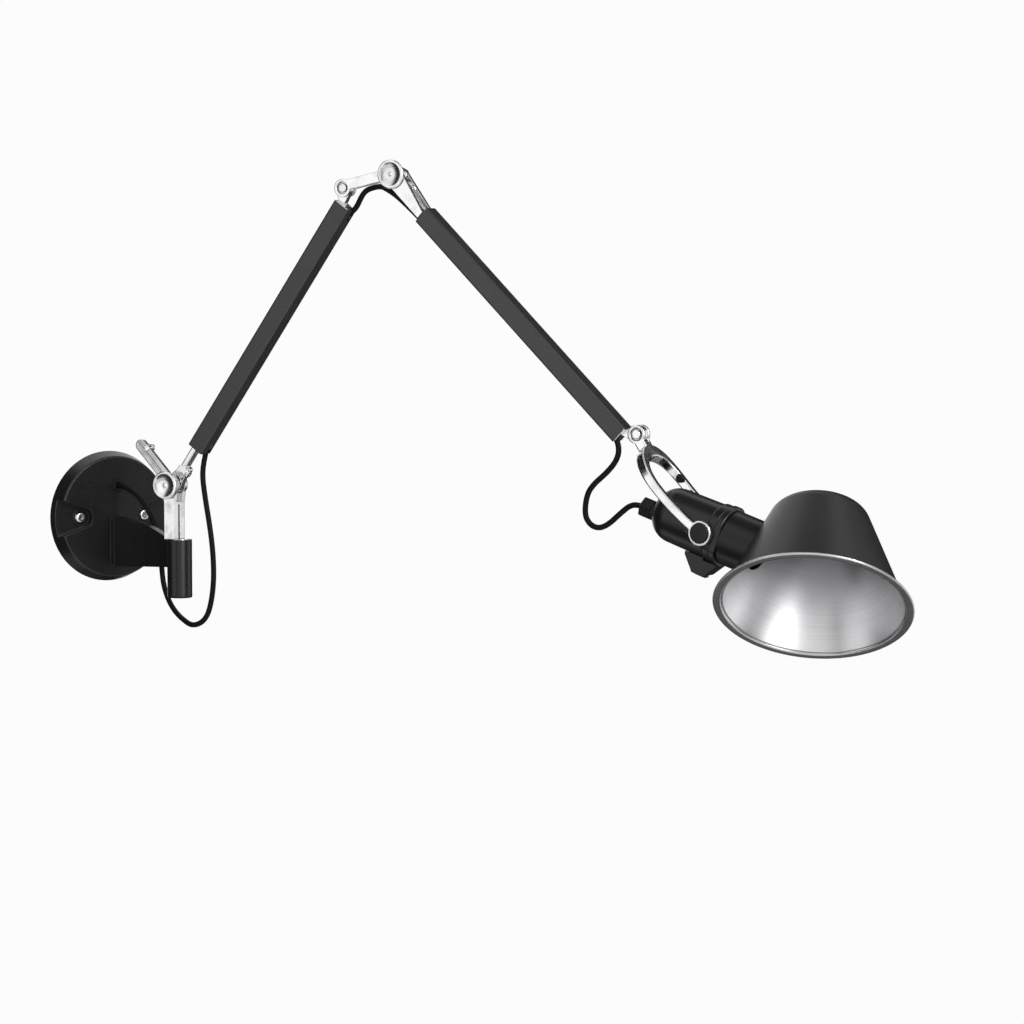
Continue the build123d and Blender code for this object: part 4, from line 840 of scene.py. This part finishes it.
def supply_cord() -> SupplyCord:
    """The lamp's cord, from the wall plate to the lampholder."""
    return SupplyCord(stretches=(
        CordStretch("cord_from_plate", "cord_plate_to_swivel", 0.160, ("wall_mount", "swivel"), (
            (0.0020, -0.0048, 0.0240),
            (0.0020, -0.0190, 0.0240),
            (0.0044, -0.0330, 0.0204),
            (0.0066, -0.0470, 0.0108),
            (0.0082, -0.0578, -0.0020),
            (0.0092, -0.0642, -0.0175),
            (0.0096, -0.0662, -0.0330),
            (0.0094, -0.0690, -0.0475),
            (0.0086, -0.0768, -0.0578),
            (0.0076, -0.0876, -0.0656),
            (0.0068, -0.1005, -0.0712),
            (0.0066, -0.1110, -0.0740),
        )),
        CordStretch("cord_to_lower_tube", "cord_swivel_to_arm", 0.158, ("swivel", "lower_arm"), (
            (0.0066, -0.1110, -0.0740),
            (0.0065, -0.1173, -0.0757),
            (0.0092, -0.1267, -0.0734),
            (0.0117, -0.1325, -0.0672),
            (0.0134, -0.1354, -0.0564),
            (0.0144, -0.1370, -0.0425),
            (0.0145, -0.1370, -0.0290),
            (0.0141, -0.1358, -0.0145),
            (0.0132, -0.1333, 0.0015),
            (0.0120, -0.1300, 0.0180),
            (0.0109, -0.1272, 0.0360),
            (0.0115, -0.1283, 0.0465),
            (0.0129, -0.1312, 0.0582),
            (0.0145, -0.1344, 0.0630),
        )),
        CordStretch("cord_at_elbow_low", "cord_elbow_lower", 0.037, ("lower_arm", "link"), (
            (0.0656, -0.2393, 0.2255),
            (0.0668, -0.2417, 0.2291),
            (0.0700, -0.2485, 0.2328),
            (0.0718, -0.2546, 0.2434),
            (0.0733, -0.2599, 0.2472),
            (0.0750, -0.2651, 0.2482),
        )),
        CordStretch("cord_at_elbow_high", "cord_elbow_upper", 0.058, ("link", "upper_arm"), (
            (0.0750, -0.2651, 0.2482),
            (0.0768, -0.2708, 0.2493),
            (0.0789, -0.2756, 0.2473),
            (0.0819, -0.2833, 0.2428),
            (0.0847, -0.2908, 0.2369),
            (0.0878, -0.2982, 0.2303),
            (0.0913, -0.3056, 0.2231),
            (0.0932, -0.3095, 0.2189),
        )),
        CordStretch("cord_at_wrist_arm", "cord_wrist_arm", 0.067, ("upper_arm", "yoke"), (
            (0.1564, -0.4390, 0.0803),
            (0.1592, -0.4448, 0.0740),
            (0.1604, -0.4470, 0.0646),
            (0.1592, -0.4439, 0.0564),
            (0.1560, -0.4365, 0.0482),
            (0.1522, -0.4277, 0.0408),
            (0.1500, -0.4225, 0.0330),
            (0.1498, -0.4215, 0.0256),
        )),
        CordStretch("cord_to_gland", "cord_wrist_head", 0.065, ("yoke", "lampholder"), (
            (0.1498, -0.4215, 0.0256),
            (0.1497, -0.4206, 0.0189),
            (0.1518, -0.4243, 0.0122),
            (0.1550, -0.4303, 0.0099),
            (0.1585, -0.4373, 0.0132),
            (0.1628, -0.4455, 0.0214),
            (0.1662, -0.4524, 0.0272),
            (0.1694, -0.4589, 0.0273),
            (0.1721, -0.4644, 0.0253),
        )),
    ))


# ---------------------------------------------------------------- studio
@dataclass
class SoftLamp:
    """A square soft lamp that faces a target."""

    name: str
    place: Point
    target: Point
    side: float
    power: float
    mirrored: bool = True

    def build(self) -> None:
        """Make the lamp."""
        data = bpy.data.lights.new(self.name, "AREA")
        data.size = self.side
        data.energy = self.power
        lamp = placed(self.name, data)
        lamp.location = self.place
        lamp.visible_glossy = self.mirrored
        lamp.rotation_mode = "QUATERNION"
        lamp.rotation_quaternion = aim(self.place, self.target)


def aim(place: Point, target: Point) -> Quaternion:
    """Rotation that points a camera's, a lamp's or a card's -Z from a place to a target.

    Args:
        place: Where it stands.
        target: What it faces.

    Returns:
        The rotation.
    """
    return (Vector(target) - Vector(place)).to_track_quat("-Z", "Y")


@dataclass
class Card:
    """A grey card beside the lamp that only its glossy surfaces see."""

    name: str
    place: Point
    target: Point
    width: float
    height: float
    level: float

    def build(self) -> None:
        """Make the card: a flat sheet of one level of grey, seen by mirror rays alone."""
        across, up = self.width / 2, self.height / 2
        mesh = bpy.data.meshes.new(self.name)
        mesh.from_pydata([(-across, -up, 0), (across, -up, 0), (across, up, 0), (-across, up, 0)], [],
                         [(0, 1, 2, 3)])
        turned = Matrix.LocRotScale(self.place, aim(self.place, self.target), None)
        mesh.transform(turned)
        card = placed(self.name, mesh)
        shader = Shader(self.name)
        mesh.materials.append(shader.close(shader.glow(self.level)))
        card.visible_camera = False
        card.visible_diffuse = False
        card.visible_shadow = False
        card.visible_transmission = False


@dataclass
class Studio:
    """Plain pale floor, soft lamps, grey cards, white surroundings and the camera."""

    azimuth: float = -34.5
    elevation: float = 4.0
    lens: float = 126.5625
    sensor: float = 36.0
    far: float = 100.0
    camera_place: Point = (-1.31074, -2.45610, 0.19624)
    floor_level: float = -1.2
    floor_side: float = 30.0
    floor_pale: Colour = (0.8, 0.8, 0.8)
    floor_paler: Colour = (0.83, 0.83, 0.83)
    floor_glow: float = 1.014
    floor_share: float = 0.95
    white: float = 0.973
    fill: float = 0.2
    lamps: List[SoftLamp] = field(default_factory=list)
    cards: List[Card] = field(default_factory=list)

    def camera(self) -> None:
        """Make the camera, which looks against the direction of its azimuth and elevation."""
        data = bpy.data.cameras.new("view")
        data.lens = self.lens
        data.sensor_width = self.sensor
        data.clip_end = self.far
        camera = placed("view", data)
        a, e = math.radians(self.azimuth), math.radians(self.elevation)
        back = np.array((math.sin(a) * math.cos(e), -math.cos(a) * math.cos(e), math.sin(e)))
        camera.location = self.camera_place
        camera.rotation_mode = "QUATERNION"
        camera.rotation_quaternion = aim(self.camera_place, tuple(np.array(self.camera_place) - back))
        bpy.context.scene.camera = camera

    def world(self) -> None:
        """Make the world: white where it is looked at, a low even fill for everything else."""
        world = bpy.data.worlds.new("surroundings")
        bpy.context.scene.world = world
        world.use_nodes = True
        nodes = Nodes(world.node_tree)
        white, fill = (
            nodes.node("Background", None, {"Color": (level, level, level, 1.0)}).outputs[0]
            for level in (self.white, self.fill)
        )
        both = nodes.node("MixShader", None, {0: nodes.seen(), 1: fill, 2: white})
        nodes.node("OutputWorld", None, {0: both.outputs[0]})

    def floor(self) -> None:
        """Make the pale floor: mostly a plain glow where it is looked at, with a small share of matt."""
        half = self.floor_side / 2
        mesh = bpy.data.meshes.new("floor")
        corners = [(-half, -half), (half, -half), (half, half), (-half, half)]
        mesh.from_pydata([(x, y, self.floor_level) for x, y in corners], [], [(0, 1, 2, 3)])
        floor = placed("floor", mesh)
        shader = Shader("pale_floor")
        pale = shader.blend(shader.noise(40.0, 3.0), self.floor_pale, self.floor_paler)
        matt = shader.node("BsdfDiffuse", None, {"Color": pale}).outputs[0]
        inputs = {0: shader.seen() * self.floor_share, 1: matt, 2: shader.glow(self.floor_glow)}
        mesh.materials.append(shader.close(shader.node("MixShader", None, inputs).outputs[0]))

    def build(self) -> None:
        """Make the whole studio."""
        bpy.context.scene.view_settings.view_transform = "Standard"
        self.camera()
        self.world()
        self.floor()
        for lamp in self.lamps:
            lamp.build()
        for card in self.cards:
            card.build()


def studio() -> Studio:
    """The studio that the lamp stands in."""
    middle = (0.1, -0.3, 0.08)
    return Studio(
        lamps=[
            SoftLamp("fill", (-2.2, -1.5, 0.9), middle, 1.4, 45.0, mirrored=False),
            SoftLamp("key_left", (-2.5, -0.3, 0.22), middle, 1.5, 7.6),
            SoftLamp("front", (0.1, -2.9, 0.3), middle, 1.1, 13.0),
            SoftLamp("front_high", (0.6, -2.6, 1.4), middle, 0.8, 30.0),
        ],
        cards=[
            Card("flag_right", (1.6, 0.4, 0.1), middle, 1.5, 3.0, 0.03),
            Card("flag_front", (1.3, -1.9, -0.1), middle, 0.9, 2.0, 0.15),
            Card("flag_top", (0.2, -0.4, 1.9), middle, 1.6, 1.2, 0.06),
            Card("flag_behind", (-0.75, 0.8, 0.0), middle, 1.9, 3.2, 0.015),
            Card("flag_key", (-1.5, -1.15, 0.3), middle, 0.3, 1.6, 0.0),
            Card("flag_low_back", (0.2, 1.0, -0.85), middle, 2.6, 0.9, 0.02),
            Card("flag_low", (-1.03, -0.1, -0.85), middle, 1.3, 0.8, 0.04),
            Card("flag_left", (-2.8, -0.28, 0.17), middle, 1.95, 1.95, 0.1),
            Card("flag_floor", (0.35, -0.05, -1.1), middle, 1.5, 1.5, 0.12),
        ],
    )


def main() -> None:
    """Build the studio, dress every sub-assembly and make the cord."""
    logging.basicConfig(level=logging.INFO, format="%(name)s %(message)s")
    studio().build()
    wardrobe = Wardrobe()
    for group in (WallPlate(), Swivel(), LowerArm(), ElbowLink(), UpperArm(), Yoke(), Lampholder(), Shade()):
        group.dress(wardrobe)
    supply_cord().build(wardrobe)


if __name__ == "__main__":
    main()
